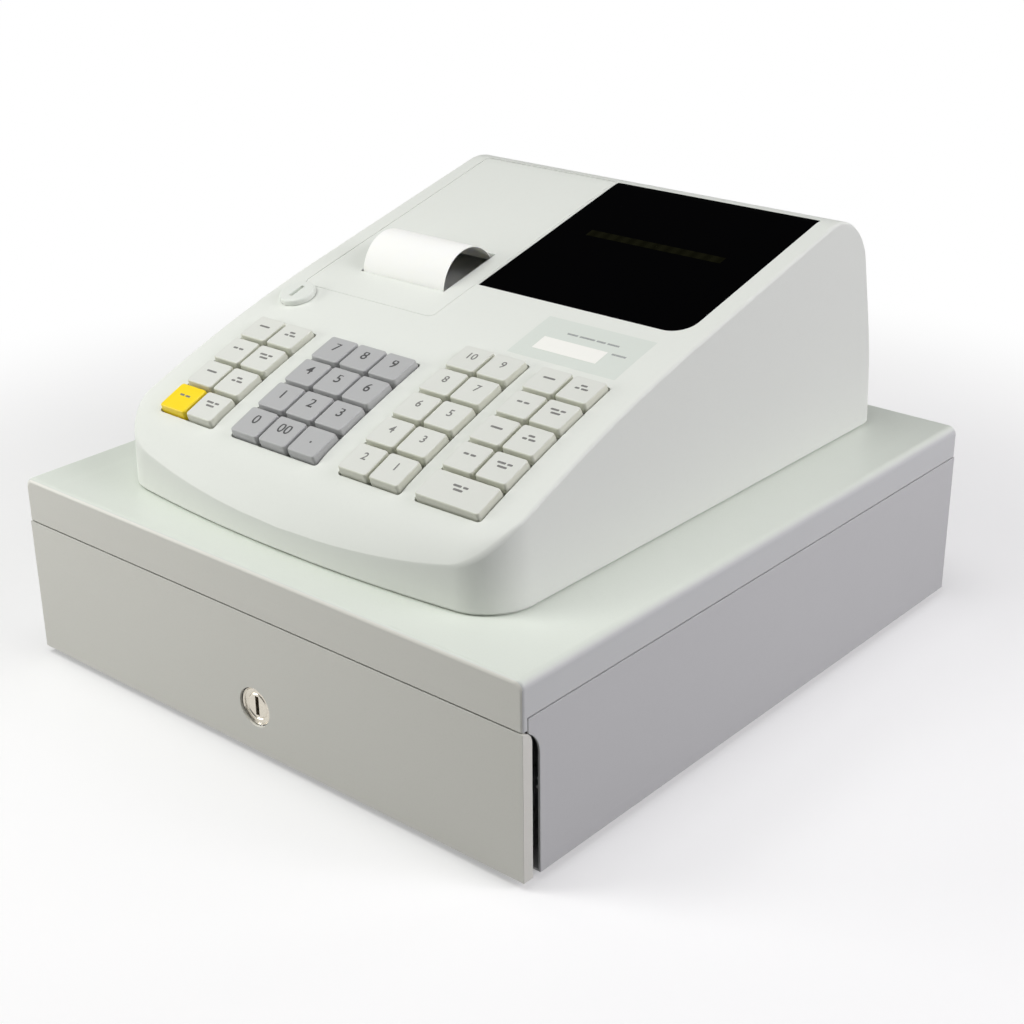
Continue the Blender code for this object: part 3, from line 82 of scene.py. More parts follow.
# Register housing: outline on the lid, and side profile
CASE_FRONT = 0.0215
CASE_BACK = 0.3375
CASE_BOW_RADIUS = 0.850
CASE_CORNER_RADIUS = 0.026
CASE_REAR_RADIUS = 0.008
CASE_WALL = 0.0025
CASE_DRAFT = math.radians(2.6)
CASE_EDGE_RADIUS = 0.0018
CASE_FOOT_REBATE = 0.0010
CASE_FOOT_GAP = 0.0012
DECK_ANGLE = math.radians(14.7)
DECK_JOIN_DEPTH = 0.168
DECK_JOIN_RISE = 0.0826
DECK_RADIUS = 0.790
NOSE_RADIUS = 0.062
NOSE_SIDE_RADIUS = 0.002
NOSE_END_ANGLE = math.radians(65)
REAR_RADIUS = 0.027
BACK_LEAN = math.radians(7.7)

# Keys
KEY_PITCH = 0.0196
ROW_PITCH = 0.01945
KEY_FRONT_DEPTH = 0.0427
KEY_GAP = 0.0013
ROW_GAP = 0.0017
KEY_RISE = 0.0033
KEY_SKIRT = 0.0020
KEY_CORNER = 0.0016
KEY_SHOULDER = 0.0010
KEY_TOP_INSET = 0.0010
KEY_TOP_ROUND = 0.0007
KEY_DISH = 0.00022
KEY_STEM = 0.0050
KEY_FOOT = 0.0076
KEY_FOOT_THICKNESS = 0.0012
WELL_MARGIN = 0.0008
WELL_DEPTH = 0.0055
WELL_FLOOR = 0.0020
WELL_WALL = 0.0020
WELL_CORNER = 0.0020
LEFT_BLOCK_X = -0.1045
NUMBER_BLOCK_X = -0.0526
DEPARTMENT_BLOCK_X = 0.0200
TOTAL_BLOCK_X = 0.0676
DEPARTMENT_KEYS = 10
YELLOW_KEY = "key_left_07"
KEY_SIDE_SHARE = 0.12
KEY_DISH_SHARES = (0.92, 0.78, 0.55, 0.25)

# Figures and bars printed on the keys and on the legend panel
PRINT_DEPTH_SHARE = 0.85
DIGIT_HEIGHT = 0.0084
SMALL_DIGIT_HEIGHT = 0.0064
DIGIT_BOLDNESS = 0.00009
DIGIT_LIFT = 0.0016
NUMBER_WORDS = ("7", "8", "9", "4", "5", "6", "1", "2", "3", "0", "00", ".")
BAR_WIDTH = 0.0088
BAR_HEIGHT = 0.0012
BAR_PITCH = 0.0023
BAR_SPACE = 0.0009
# Rows of bars on a key, each bar as a share of the widest row
BAR_ROW_SHARES = (
    ((0.55, 0.34), (0.62,)),
    ((0.80,),),
    ((0.42,), (0.30, 0.45)),
    ((0.36, 0.36),),
)

# Window, printer cover, ticket printer, mode lock and cord gland
PANE_THICKNESS = 0.0024
PANE_FRONT_DEPTH = 0.1810
PANE_CORNER = 0.0120
SEAT_LEDGE = 0.0060
SEAT_RIM = 0.0045
SEAT_THICKNESS = 0.0034
COVER_THICKNESS = 0.0022
COVER_FRONT_DEPTH = 0.1475
COVER_CORNER = 0.0040
COVER_SIDE = 0.1106
PANE_LEFT = -0.0164
COVER_RIGHT = -0.0184
PANEL_REAR_RUN = 0.0052
COVER_REAR_GAP = 0.0011
HINGE_PIN_RADIUS = 0.0012
HINGE_PIN_LENGTH = 0.0022
HINGE_PIN_INSET = 0.0016
HINGE_BORE_RADIUS = 0.00145
RIB_PIN_LENGTH = 0.0008
SLOT_LEFT = -0.0888
SLOT_RIGHT = -0.0292
SLOT_FRONT_DEPTH = 0.1686
SLOT_LENGTH = 0.0412
PAPER_THICKNESS = 0.0003
PAPER_FRONT_DEPTH = 0.1695
CURL_RADIUS = 0.0200
CURL_CENTRE_DROP = 0.00209
CURL_SWEEP = math.radians(152)
PAPER_DROP = 0.0190
MODE_LOCK_X = -0.1030
MODE_LOCK_DEPTH = 0.1367
MODE_LOCK_RADIUS = 0.0096
MODE_LOCK_RISE = 0.0034
MODE_LOCK_STEM_RADIUS = 0.0066
MODE_LOCK_STEM = 0.0110
GLAND_RADIUS = 0.0058
GLAND_X = 0.0800
GLAND_LIFT = 0.0100

# Drawer lock
DRAWER_LOCK_HEIGHT = 0.0237
DRAWER_LOCK_RADIUS = 0.0098
DRAWER_LOCK_RECESS = 0.0012
DRAWER_LOCK_LIP = 0.0005
PLUG_SHARE = 0.66
CAM_SHEET = 0.0020
CAM_HALF_WIDTH = 0.0055
KEYWAY_WIDTH = 0.0024
KEYWAY_HEIGHT = 0.0100
KEYWAY_DEPTH = 0.0060

# Lid: wide rolled edges at its sides, a tight fold along its front, and the strike of the lock under it
LID_SHEET = 0.0015
LID_BAND = 0.0030
LID_SIDE_ROLL = 0.0042
LID_FRONT_FOLD = 0.0024
LID_REAR_FOLD = 0.0030
LID_CORNER = 0.0016
LID_SKIRT_FOOT = 0.0731
LID_SIDE_SEAM = 0.0009
FRONT_BAND_SHARE = 0.75
STRIKE_HALF_WIDTH = 0.0090
STRIKE_FRONT = 0.0160
STRIKE_REAR = 0.0180

# Platen roller and paper roll
SHAFT_RADIUS = 0.0025
ROUND_BEVEL = 0.0004
ROLL_CORE_RADIUS = 0.0068
ROLL_WINDS = 12
ROLL_SIDES = 96

# Clearances, roundings and fineness
SEAT_GAP = 0.0003
RUN_GAP = 0.0006
OVERRUN = 0.0100
INK_RISE = 0.00004
WELD_DISTANCE = 0.000002
BOARD_ROUNDING = 0.0001
LOCK_ROUNDING = 0.00015
EDGE_ROUNDING = 0.0003
PANEL_ROUNDING = 0.0005
TRAY_ROUNDING = 0.0006
CORNER_STEPS = 12
FOLD_STEPS = 10
PAPER_SLICES = 12
FINE_STEP = math.radians(5)
COARSE_STEP = math.radians(11)
ROLL_STEP = math.radians(7.5)
ROUND_STEP = math.radians(15)
SMOOTH_ANGLE = math.radians(22)

DECK_JOIN = Vector((DECK_JOIN_DEPTH, CASE_BASE + DECK_JOIN_RISE))
DECK_UP = Vector((math.cos(DECK_ANGLE), math.sin(DECK_ANGLE)))
DECK_OUT = Vector((-math.sin(DECK_ANGLE), math.cos(DECK_ANGLE)))
DECK_CENTRE = DECK_JOIN - DECK_OUT * DECK_RADIUS


# The deck, as in the frame: depth runs back from the drawer's front, height up from the cabinet's underside


def out_at(angle):
    return Vector((-math.sin(angle), math.cos(angle)))


BACK_FOOT = Vector((CASE_BACK, CASE_BASE))
BACK_UP = Vector((-math.sin(BACK_LEAN), math.cos(BACK_LEAN)))


def rear_round():
    gap = BACK_FOOT - DECK_JOIN
    cross = DECK_UP.x * BACK_UP.y - DECK_UP.y * BACK_UP.x
    run = (gap.x * BACK_UP.y - gap.y * BACK_UP.x) / cross
    turn = math.pi / 2 + DECK_ANGLE - BACK_LEAN
    run -= REAR_RADIUS * math.tan(turn / 2)
    return DECK_JOIN + DECK_UP * run - DECK_OUT * REAR_RADIUS, run


REAR_CENTRE, DECK_RUN = rear_round()
PANEL_REAR = DECK_RUN + PANEL_REAR_RUN


def deck_angle(run):
    if run < 0:
        return DECK_ANGLE - run / DECK_RADIUS
    if run <= DECK_RUN:
        return DECK_ANGLE
    return DECK_ANGLE - (run - DECK_RUN) / REAR_RADIUS


def deck_point(run, drop=0.0):
    angle = deck_angle(run)
    if run < 0:
        return DECK_CENTRE + out_at(angle) * (DECK_RADIUS - drop)
    if run <= DECK_RUN:
        return DECK_JOIN + DECK_UP * run - DECK_OUT * drop
    return REAR_CENTRE + out_at(angle) * (REAR_RADIUS - drop)


def deck_run(depth):
    if depth < DECK_JOIN_DEPTH:
        return (DECK_ANGLE - math.asin((DECK_CENTRE.x - depth) / DECK_RADIUS)) * DECK_RADIUS
    return (depth - DECK_JOIN_DEPTH) / math.cos(DECK_ANGLE)


def place(x, depth, height):
    return Vector((x, depth - ORIGIN_DEPTH, height + FOOT_HEIGHT))


def on_deck(x, run, drop=0.0):
    point = deck_point(run, drop)
    return place(x, point.x, point.y)


def deck_frame(x, run):
    return Matrix.Translation(on_deck(x, run)) @ Matrix.Rotation(deck_angle(run), 4, "X")


# Turns of the local Z axis to the back and to the right
TURN_BACK = Matrix.Rotation(-math.pi / 2, 4, "X")
TURN_RIGHT = Matrix.Rotation(math.pi / 2, 4, "Y")
# Plates in the deck: left, right, front and rear edges, and front left, front right and rear radii
PANE_EDGES = (PANE_LEFT, COVER_SIDE, deck_run(PANE_FRONT_DEPTH), PANEL_REAR)
PANE_RADII = (0, PANE_CORNER, 0)
COVER_EDGES = (-COVER_SIDE, COVER_RIGHT, deck_run(COVER_FRONT_DEPTH), PANEL_REAR)
COVER_RADII = (COVER_CORNER, COVER_CORNER, 0)


# Materials, and the full heights of their bumps in metres
PLASTIC_GRAIN = 0.000006
COARSE_GRAIN = 0.00002
ORANGE_PEEL = 0.000009
PAINT_SPECKLE = 0.000003
WINDOW_WAVES = 0.00001
PAPER_FIBRES = 0.000006
METAL_LINES = 0.000003
RUBBER_GRAIN = 0.00002
TRACK_RISE = 0.00002


def feed(tree, node, values):
    """Fills a node's inputs: a socket is linked to its input, and any other value is set there."""
    for key, value in values.items():
        if isinstance(value, bpy.types.NodeSocket):
            tree.links.new(value, node.inputs[key])
        else:
            node.inputs[key].default_value = value


def add_node(tree, kind, values=None, **settings):
    """Adds a node with its settings and inputs, and gives its outputs."""
    made = tree.nodes.new(kind)
    for key, value in settings.items():
        setattr(made, key, value)
    feed(tree, made, values or {})
    return made.outputs


class Finish:
    """A Principled material whose colour, roughness and bump come from procedural patterns."""

    def __init__(self, name, colour, roughness, metallic=0.0, specular=0.5):
        self.material = bpy.data.materials.new(name)
        self.material.use_nodes = True
        self.tree = self.material.node_tree
        self.set({"Metallic": metallic, "Specular IOR Level": specular})
        self.coordinates = self.node("ShaderNodeTexCoord")["Object"]
        self.colour = (*colour, 1.0)
        self.roughness = roughness
        self.height = None

    def set(self, values):
        feed(self.tree, self.tree.nodes["Principled BSDF"], values)

    def node(self, kind, values=None, **settings):
        return add_node(self.tree, kind, values, **settings)

    def stretched(self, scales):
        return self.node("ShaderNodeMapping", {"Vector": self.coordinates, "Scale": scales})[0]

    def noise(self, per_metre, detail=2.0, vector=None):
        values = {"Vector": vector or self.coordinates, "Scale": per_metre, "Detail": detail}
        return self.node("ShaderNodeTexNoise", values)["Fac"]

    def cells(self, per_metre):
        values = {"Vector": self.coordinates, "Scale": per_metre}
        return self.node("ShaderNodeTexVoronoi", values)["Distance"]

    def upward(self):
        """How far the surface faces up, from 0 to 1."""
        normal = self.node("ShaderNodeNewGeometry")["Normal"]
        return self.node("ShaderNodeSeparateXYZ", {0: normal})["Z"]

    def ramp(self, source, low, high, start=0.0, end=1.0):
        values = {"Value": source, "From Min": start, "From Max": end, "To Min": low, "To Max": high}
        return self.node("ShaderNodeMapRange", values)[0]

    def added(self, first, second):
        return self.node("ShaderNodeMath", {0: first, 1: second}, operation="ADD")[0]

    def tint(self, mask, colour, amount=1.0, start=0.0, end=1.0):
        """Lays a colour over the present one, from none where the mask is at start to amount at end."""
        factor = self.ramp(mask, 0.0, amount, start, end)
        values = {"Factor": factor, "A": self.colour, "B": (*colour, 1.0)}
        self.colour = self.node("ShaderNodeMix", values, data_type="RGBA")["Result"]

    def vary_roughness(self, mask, spread):
        if isinstance(self.roughness, float):
            self.roughness = self.ramp(mask, self.roughness - spread, self.roughness + spread)
        else:
            self.roughness = self.added(self.roughness, self.ramp(mask, -spread, spread))

    def raise_by(self, mask, metres):
        """Adds a pattern to the bump, whose full height is given in metres."""
        part = self.ramp(mask, 0.0, metres)
        self.height = part if self.height is None else self.added(self.height, part)

    def done(self):
        self.set({"Base Color": self.colour, "Roughness": self.roughness})
        if self.height is not None:
            bump = self.node("ShaderNodeBump", {"Strength": 1.0, "Distance": 1.0, "Height": self.height})
            self.set({"Normal": bump[0]})
        return self.material


def scaled(colour, share):
    return tuple(min(1.0, part * share) for part in colour)


def moulded(name, colour, roughness, grain=PLASTIC_GRAIN, clouds=0.05, specular=0.4, sides=None):
    """Injection-moulded plastic: fine spark-eroded grain, faint flow clouds and handling marks. Given a
    sides colour, the faces that don't look up take it as painted shade.
    """
    made = Finish(name, colour, roughness, specular=specular)
    # Painted shade: faces that don't look up take the darker sides colour
    if sides:
        made.tint(made.upward(), sides, 1.0, 0.85, 0.55)
    darker = scaled(colour, 0.9)
    made.tint(made.noise(14, 3), darker, clouds * 2)
    made.tint(made.noise(420, 2), darker, clouds * 2, 0.52, 0.75)
    made.vary_roughness(made.noise(60, 4), 0.05)
    made.raise_by(made.noise(2600, 2), grain)
    made.raise_by(made.noise(35, 1), grain * 4)
    return made.done()


def painted(name, colour, roughness, upper=None):
    """Sprayed steel: orange-peel paint with a fine speckle and a few hairline rubs. Given an upper colour,
    the faces that look up take it as painted light from above.
    """
    made = Finish(name, colour, roughness, specular=0.45)
    # Painted light: faces that look up take the lighter upper colour, and the faces on the sides keep the
    # darker colour as painted shade
    if upper:
        made.tint(made.upward(), upper, 1.0, 0.35, 0.9)
        colour = upper
    darker = scaled(colour, 0.86)
    made.tint(made.noise(9, 3), darker, 0.12)
    made.tint(made.noise(1500, 1), darker, 0.22, 0.55, 0.8)
    rubs = made.noise(60, 3, made.stretched((1.0, 0.06, 9.0)))
    made.tint(rubs, scaled(colour, 1.12), 0.10, 0.66, 0.76)
    made.vary_roughness(made.noise(45, 3), 0.05)
    made.raise_by(made.noise(620, 2), ORANGE_PEEL)
    made.raise_by(made.noise(2400, 1), PAINT_SPECKLE)
    return made.done()


def black_window():
    """Smoked acrylic, nearly black, with a little dust and faint wiping marks."""
    made = Finish("window_plastic", (0.0010, 0.0010, 0.0012), 0.12, specular=0.008)
    made.tint(made.noise(900, 2), (0.02, 0.02, 0.02), 0.08, 0.70, 0.82)
    made.vary_roughness(made.noise(30, 3), 0.04)
    made.raise_by(made.noise(8, 1), WINDOW_WAVES)
    return made.done()


def paper():
    """Thin ticket paper with faint fibres, which lets some light through."""
    made = Finish("paper", (0.97, 0.975, 0.935), 0.75, specular=0.2)
    made.tint(made.noise(700, 4), (0.92, 0.92, 0.86), 0.25)
    made.raise_by(made.noise(900, 3, made.stretched((1.0, 4.0, 4.0))), PAPER_FIBRES)
    made.vary_roughness(made.noise(50, 2), 0.06)
    made.set({"Subsurface Weight": 0.20, "Subsurface Radius": (1.0, 0.95, 0.75)})
    made.set({"Subsurface Scale": PAPER_THICKNESS * 2})
    return made.done()


def metal(name, colour, roughness, scratch_scales, spangle=0.0):
    """Plated metal: fine lines one way, and on zinc the large faint crystals."""
    made = Finish(name, colour, roughness, metallic=1.0)
    darker = scaled(colour, 0.78)
    lines = made.noise(900, 3, made.stretched(scratch_scales))
    made.tint(lines, darker, 0.25)
    made.vary_roughness(lines, 0.09)
    made.raise_by(lines, METAL_LINES)
    if spangle:
        crystals = made.cells(spangle)
        made.tint(crystals, darker, 0.5)
        made.vary_roughness(crystals, 0.10)
    return made.done()


def rubber(name, colour):
    made = Finish(name, colour, 0.78, specular=0.25)
    made.tint(made.noise(300, 3), scaled(colour, 1.8), 0.35)
    made.raise_by(made.noise(1800, 2), RUBBER_GRAIN)
    made.vary_roughness(made.noise(90, 2), 0.08)
    return made.done()


def circuit_board():
    """Green solder resist with paler tracks and small solder points under it."""
    made = Finish("board_resin", (0.015, 0.13, 0.05), 0.35, specular=0.5)
    flat = {"Vector": made.stretched((1.0, 1.0, 0.0)), "Scale": 90, "Mortar Size": 0.06}
    tracks = made.node("ShaderNodeTexBrick", flat)["Fac"]
    made.tint(tracks, (0.05, 0.28, 0.10), 0.8)
    points = made.ramp(made.cells(260), 1, 0, 0.16, 0.22)
    made.tint(points, (0.62, 0.62, 0.60), 0.9)
    made.raise_by(tracks, TRACK_RISE)
    made.vary_roughness(points, 0.1)
    return made.done()


def ink(name, colour):
    made = Finish(name, colour, 0.55, specular=0.3)
    made.tint(made.noise(1400, 2), scaled(colour, 2.2), 0.5, 0.45, 0.9)
    made.vary_roughness(made.noise(500, 2), 0.08)
    return made.done()


def display_glass():
    """The dark face of the display tube, as it shows on the smoked window."""
    made = Finish("display_band", (0.0035, 0.0036, 0.0012), 0.18, specular=0.02)
    along = {"Vector": made.coordinates, "Scale": 40}
    bands = made.node("ShaderNodeTexWave", along, wave_type="BANDS", bands_direction="X")
    made.tint(bands["Fac"], (0.0075, 0.0075, 0.0030), 0.8)
    return made.done()


CASE_PLASTIC = moulded("case_plastic", (0.79, 0.815, 0.765), 0.46, specular=0.28)
# The lid's paint: darker on its sides as painted shade, and lighter on its top as painted light from above
LID_PAINT = painted("lid_paint", (0.615, 0.625, 0.625), 0.38, upper=(0.74, 0.785, 0.715))
DRAWER_PAINT = painted("drawer_paint", (0.79, 0.785, 0.72), 0.42)
# A darker copy of the drawer's paint: painted shade on the cabinet's sides
CABINET_SHADED_PAINT = painted("cabinet_shaded_paint", (0.59, 0.595, 0.595), 0.42)
# White keys: darker and more olive on their sides, painted shade in the gaps between the keys
KEY_WHITE = moulded("key_white", (0.735, 0.75, 0.70), 0.36, clouds=0.03, sides=(0.67, 0.68, 0.585))
KEY_GREY = moulded("key_grey", (0.475, 0.48, 0.48), 0.38, clouds=0.04)
KEY_YELLOW = moulded("key_yellow", (0.98, 0.73, 0.02), 0.36, clouds=0.03)
LOCK_PLASTIC = moulded("lock_plastic", (0.78, 0.81, 0.76), 0.38)
PANEL_PRINT = moulded("panel_print", (0.71, 0.755, 0.70), 0.45)
CREAM_PRINT = moulded("cream_print", (0.93, 0.93, 0.88), 0.45)
TRAY_PLASTIC = moulded("tray_plastic", (0.045, 0.045, 0.05), 0.5, COARSE_GRAIN)
CHASSIS_PLASTIC = moulded("chassis_plastic", (0.11, 0.11, 0.11), 0.55, COARSE_GRAIN)
WINDOW_PLASTIC = black_window()
DISPLAY_BAND = display_glass()
PAPER = paper()
NICKEL = metal("lock_nickel", (0.74, 0.69, 0.60), 0.26, (1.0, 1.0, 18.0))
ZINC = metal("zinc_steel", (0.55, 0.56, 0.57), 0.36, (1.0, 12.0, 1.0), spangle=160)
PLATEN_RUBBER = rubber("platen_rubber", (0.03, 0.03, 0.03))
FOOT_RUBBER = rubber("foot_rubber", (0.035, 0.035, 0.035))
BOARD_RESIN = circuit_board()
GREY_INK = ink("grey_ink", (0.20, 0.20, 0.19))
DARK_INK = ink("dark_ink", (0.08, 0.08, 0.08))
PALE_INK = ink("pale_ink", (0.33, 0.35, 0.34))


# Making meshes


def linked(name, bm):
    """An object made from a bmesh in world coordinates."""
    mesh = bpy.data.meshes.new(name)
    bm.to_mesh(mesh)
    bm.free()
    return add_object(name, mesh)


def solid(name, bm):
    """An object made from a bmesh, with its faces turned outwards."""
    bmesh.ops.recalc_face_normals(bm, faces=bm.faces)
    return linked(name, bm)


def bake_modifiers(made):
    """Applies the object's modifiers, so that its mesh is final."""
    graph = bpy.context.evaluated_depsgraph_get()
    mesh = bpy.data.meshes.new_from_object(made.evaluated_get(graph))
    old = made.data
    made.modifiers.clear()
    made.data = mesh
    bpy.data.meshes.remove(old)
    mesh.name = made.name


def combine(target, steps):
    """Carries out Boolean steps, each (operation, other object), and removes the others."""
    for operation, other in steps:
        modifier = target.modifiers.new(other.name, "BOOLEAN")
        modifier.operation = operation
        modifier.object = other
        modifier.solver = "MANIFOLD"
    bake_modifiers(target)
    for _, other in steps:
        mesh = other.data
        bpy.data.objects.remove(other, do_unlink=True)
        bpy.data.meshes.remove(mesh)


def round_edges(made, width, segments=2, angle=math.radians(38)):
    modifier = made.modifiers.new("edges", "BEVEL")
    modifier.width = width
    modifier.segments = segments
    modifier.limit_method = "ANGLE"
    modifier.angle_limit = angle
    modifier.harden_normals = False
    bake_modifiers(made)


def dress(made, material, body, nodes=(), smooth=SMOOTH_ANGLE):
    """Gives a finished piece its material, shading, body and the nodes that it stands for."""
    if len(made.data.materials) < 2:
        made.data.materials.clear()
        made.data.materials.append(material)
    made.data.shade_smooth()
    made.data.set_sharp_from_angle(angle=smooth)
    modifier = made.modifiers.new("normals", "WEIGHTED_NORMAL")
    modifier.keep_sharp = True
    bake_modifiers(made)
    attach(made, body)
    if nodes:
        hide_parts(*nodes)
    return made


def add_loft(bm, loops, hollow=False):
    """Joins loops of points by faces, and caps the ends or, if hollow, joins the last loop to the first."""
    rings = [[bm.verts.new(point) for point in loop] for loop in loops]
    count = len(rings[0])
    pairs = list(zip(rings, rings[1:]))
    if hollow:
        pairs.append((rings[-1], rings[0]))
    for lower, upper in pairs:
        for i in range(count):
            j = (i + 1) % count
            bm.faces.new((lower[i], lower[j], upper[j], upper[i]))
    if not hollow:
        bm.faces.new(rings[0])
        bm.faces.new(rings[-1])


def loft(loops):
    bm = bmesh.new()
    add_loft(bm, loops)
    return bm


def box_between(low, high):
    corners = ((low[0], low[1]), (high[0], low[1]), (high[0], high[1]), (low[0], high[1]))
    return loft([[place(x, depth, height) for x, depth in corners] for height in (low[2], high[2])])


def ring_loop(radius, height, matrix, sides, first=0.5):
    """A circle of points about the local Z axis, the first of them that share of a step round."""
    loop = []
    for i in range(sides):
        angle = 2 * math.pi * (i + first) / sides
        loop.append(matrix @ Vector((radius * math.cos(angle), radius * math.sin(angle), height)))
    return loop


def add_turned(bm, profile, matrix, sides=64):
    add_loft(bm, [ring_loop(radius, height, matrix, sides) for radius, height in profile])


def turned(profile, matrix, sides=64):
    bm = bmesh.new()
    add_turned(bm, profile, matrix, sides)
    return bm


def arc(centre, radius, start, end, step=FINE_STEP):
    count = max(1, math.ceil(abs(end - start) / step))
    points = []
    for i in range(count + 1):
        angle = start + (end - start) * i / count
        points.append((centre[0] + radius * math.cos(angle), centre[1] + radius * math.sin(angle)))
    return points


def rounded_rectangle(x0, y0, x1, y1, radius, step=FINE_STEP):
    left = x0 + radius
    right = x1 - radius
    low = y0 + radius
    high = y1 - radius
    points = []
    for number, centre in enumerate(((right, high), (left, high), (left, low), (right, low))):
        start = number * math.pi / 2
        points += arc(centre, radius, start, start + math.pi / 2, step)
    return points


def quarter_inset(distance, radius):
    """How far a rounded edge has drawn in, at a distance from where it ends."""
    if distance >= radius:
        return 0.0
    return radius - math.sqrt(max(radius**2 - (radius - distance) ** 2, 0))


def rounding_runs(radius, steps):
    """Distances from an edge at which its rounding is cut, at equal angles."""
    return [radius * (1 - math.cos(math.pi / 2 * i / steps)) for i in range(steps + 1)]


def add_post(bm, matrix, width, length, low, high):
    x = width / 2
    y = length / 2
    corners = ((-x, -y), (x, -y), (x, y), (-x, y))
    add_loft(bm, [[matrix @ Vector((*corner, z)) for corner in corners] for z in (low, high)])


def dressed_copy(name, node, material, body, slot, width):
    """A piece in the shape of its CAD node, with flat faces merged and its sharp edges rounded."""
    bm = bmesh.new()
    bm.from_mesh(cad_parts[node].data)
    bmesh.ops.remove_doubles(bm, verts=bm.verts, dist=WELD_DISTANCE)
    bmesh.ops.dissolve_limit(bm, angle_limit=math.radians(0.5), verts=bm.verts, edges=bm.edges)
    made = solid(name, bm)
    round_edges(made, width)
    dress(made, material, body, (node,), math.radians(35))


# Register housing


def corner_centre():
    x = CASE_HALF_WIDTH - CASE_CORNER_RADIUS
    reach = CASE_BOW_RADIUS - CASE_CORNER_RADIUS
    return Vector((x, CASE_FRONT + CASE_BOW_RADIUS - math.sqrt(reach**2 - x**2)))


CORNER = corner_centre()
BOW_SPREAD = math.asin(CORNER.x / (CASE_BOW_RADIUS - CASE_CORNER_RADIUS))


def case_half_width(depth, inset=0.0):
    bow = CASE_BOW_RADIUS - inset
    corner = CASE_CORNER_RADIUS - inset
    rear = CASE_REAR_RADIUS - inset
    rear_start = CASE_BACK - CASE_REAR_RADIUS
    if depth < CORNER.y - corner * math.cos(BOW_SPREAD):
        away = CASE_FRONT + CASE_BOW_RADIUS - depth
        return math.sqrt(max(bow**2 - away**2, 0))
    if depth < CORNER.y:
        return CORNER.x + math.sqrt(corner**2 - (CORNER.y - depth) ** 2)
    if depth <= rear_start:
        return CASE_HALF_WIDTH - inset
    return CASE_HALF_WIDTH - CASE_REAR_RADIUS + math.sqrt(max(rear**2 - (depth - rear_start) ** 2, 0))


def wall_depth(x, inset=0.0):
    bow = CASE_BOW_RADIUS - inset
    corner = CASE_CORNER_RADIUS - inset
    if abs(x) < CORNER.x + corner * math.sin(BOW_SPREAD):
        return CASE_FRONT + CASE_BOW_RADIUS - math.sqrt(bow**2 - x**2)
    return CORNER.y - math.sqrt(max(corner**2 - (abs(x) - CORNER.x) ** 2, 0))


def nose_circle(x, inset=0.0):
    share = math.sqrt(max(1 - (x / CASE_HALF_WIDTH) ** 2, 0))
    radius = NOSE_SIDE_RADIUS + (NOSE_RADIUS - NOSE_SIDE_RADIUS) * share
    depth = wall_depth(x, inset) + radius * math.sin(NOSE_END_ANGLE)
    reach = DECK_RADIUS - inset - radius
    return Vector((depth, DECK_CENTRE.y + math.sqrt(reach**2 - (depth - DECK_CENTRE.x) ** 2))), radius


def case_top(x, depth, inset=0.0):
    centre, radius = nose_circle(x, inset)
    away = centre - DECK_CENTRE
    nose_end = centre.x + away.x * radius / away.length
    arc_end = DECK_JOIN_DEPTH + inset * math.sin(DECK_ANGLE)
    flat_end = REAR_CENTRE.x - (REAR_RADIUS - inset) * math.sin(DECK_ANGLE)
    rear_end = REAR_CENTRE.x + (REAR_RADIUS - inset) * math.cos(BACK_LEAN)
    if depth < nose_end:
        return centre.y + math.sqrt(max(radius**2 - (depth - centre.x) ** 2, 0))
    if depth < arc_end:
        return DECK_CENTRE.y + math.sqrt((DECK_RADIUS - inset) ** 2 - (depth - DECK_CENTRE.x) ** 2)
    if depth < flat_end:
        rise = (depth - DECK_JOIN_DEPTH) * math.tan(DECK_ANGLE)
        return DECK_JOIN.y + rise - inset / math.cos(DECK_ANGLE)
    if depth < rear_end:
        return REAR_CENTRE.y + math.sqrt((REAR_RADIUS - inset) ** 2 - (depth - REAR_CENTRE.x) ** 2)
    return CASE_BASE + (CASE_BACK - inset / math.cos(BACK_LEAN) - depth) / math.tan(BACK_LEAN)


BOW_STATIONS = 22
NOSE_STEP = 0.0010
NOSE_REACH = 0.0720
DECK_STEP = 0.0045
STATION_GAP = 0.00035


def case_depths(inset, fine):
    """Depths of the slices that describe the housing, from front to back."""
    step = FINE_STEP / 2 if fine else COARSE_STEP
    stations = BOW_STATIONS if fine else BOW_STATIONS // 4
    bow = CASE_BOW_RADIUS - inset
    corner = CASE_CORNER_RADIUS - inset
    depths = []
    for i in range(1, stations + 1):
        depths.append(CASE_FRONT + CASE_BOW_RADIUS - bow * math.cos(BOW_SPREAD * i / stations))
    depths += [depth for _, depth in arc(CORNER, corner, math.pi * 1.5 + BOW_SPREAD, math.pi * 2, step)]
    start = depths[0]
    deck_end = DECK_JOIN_DEPTH + inset * math.sin(DECK_ANGLE)
    if fine:
        depths += [start + NOSE_STEP * i for i in range(1, int((NOSE_REACH - start) / NOSE_STEP))]
    pitch = DECK_STEP if fine else DECK_STEP * 5
    steps = math.ceil((deck_end - CORNER.y) / pitch)
    depths += [CORNER.y + (deck_end - CORNER.y) * i / steps for i in range(1, steps + 1)]
    rounding = arc(REAR_CENTRE, REAR_RADIUS - inset, math.pi / 2 + DECK_ANGLE, BACK_LEAN, step)
    depths += [depth for depth, _ in rounding]
    rear = CASE_REAR_RADIUS - inset
    rear_start = CASE_BACK - CASE_REAR_RADIUS
    depths += [depth for depth, _ in arc((rear_start, 0), rear, math.pi / 2, 0, step * 2)]
    last = CASE_BACK - inset / math.cos(BACK_LEAN)
    kept = [start]
    for depth in sorted(depths):
        if depth - kept[-1] > STATION_GAP and last - depth > STATION_GAP:
            kept.append(depth)
    return kept


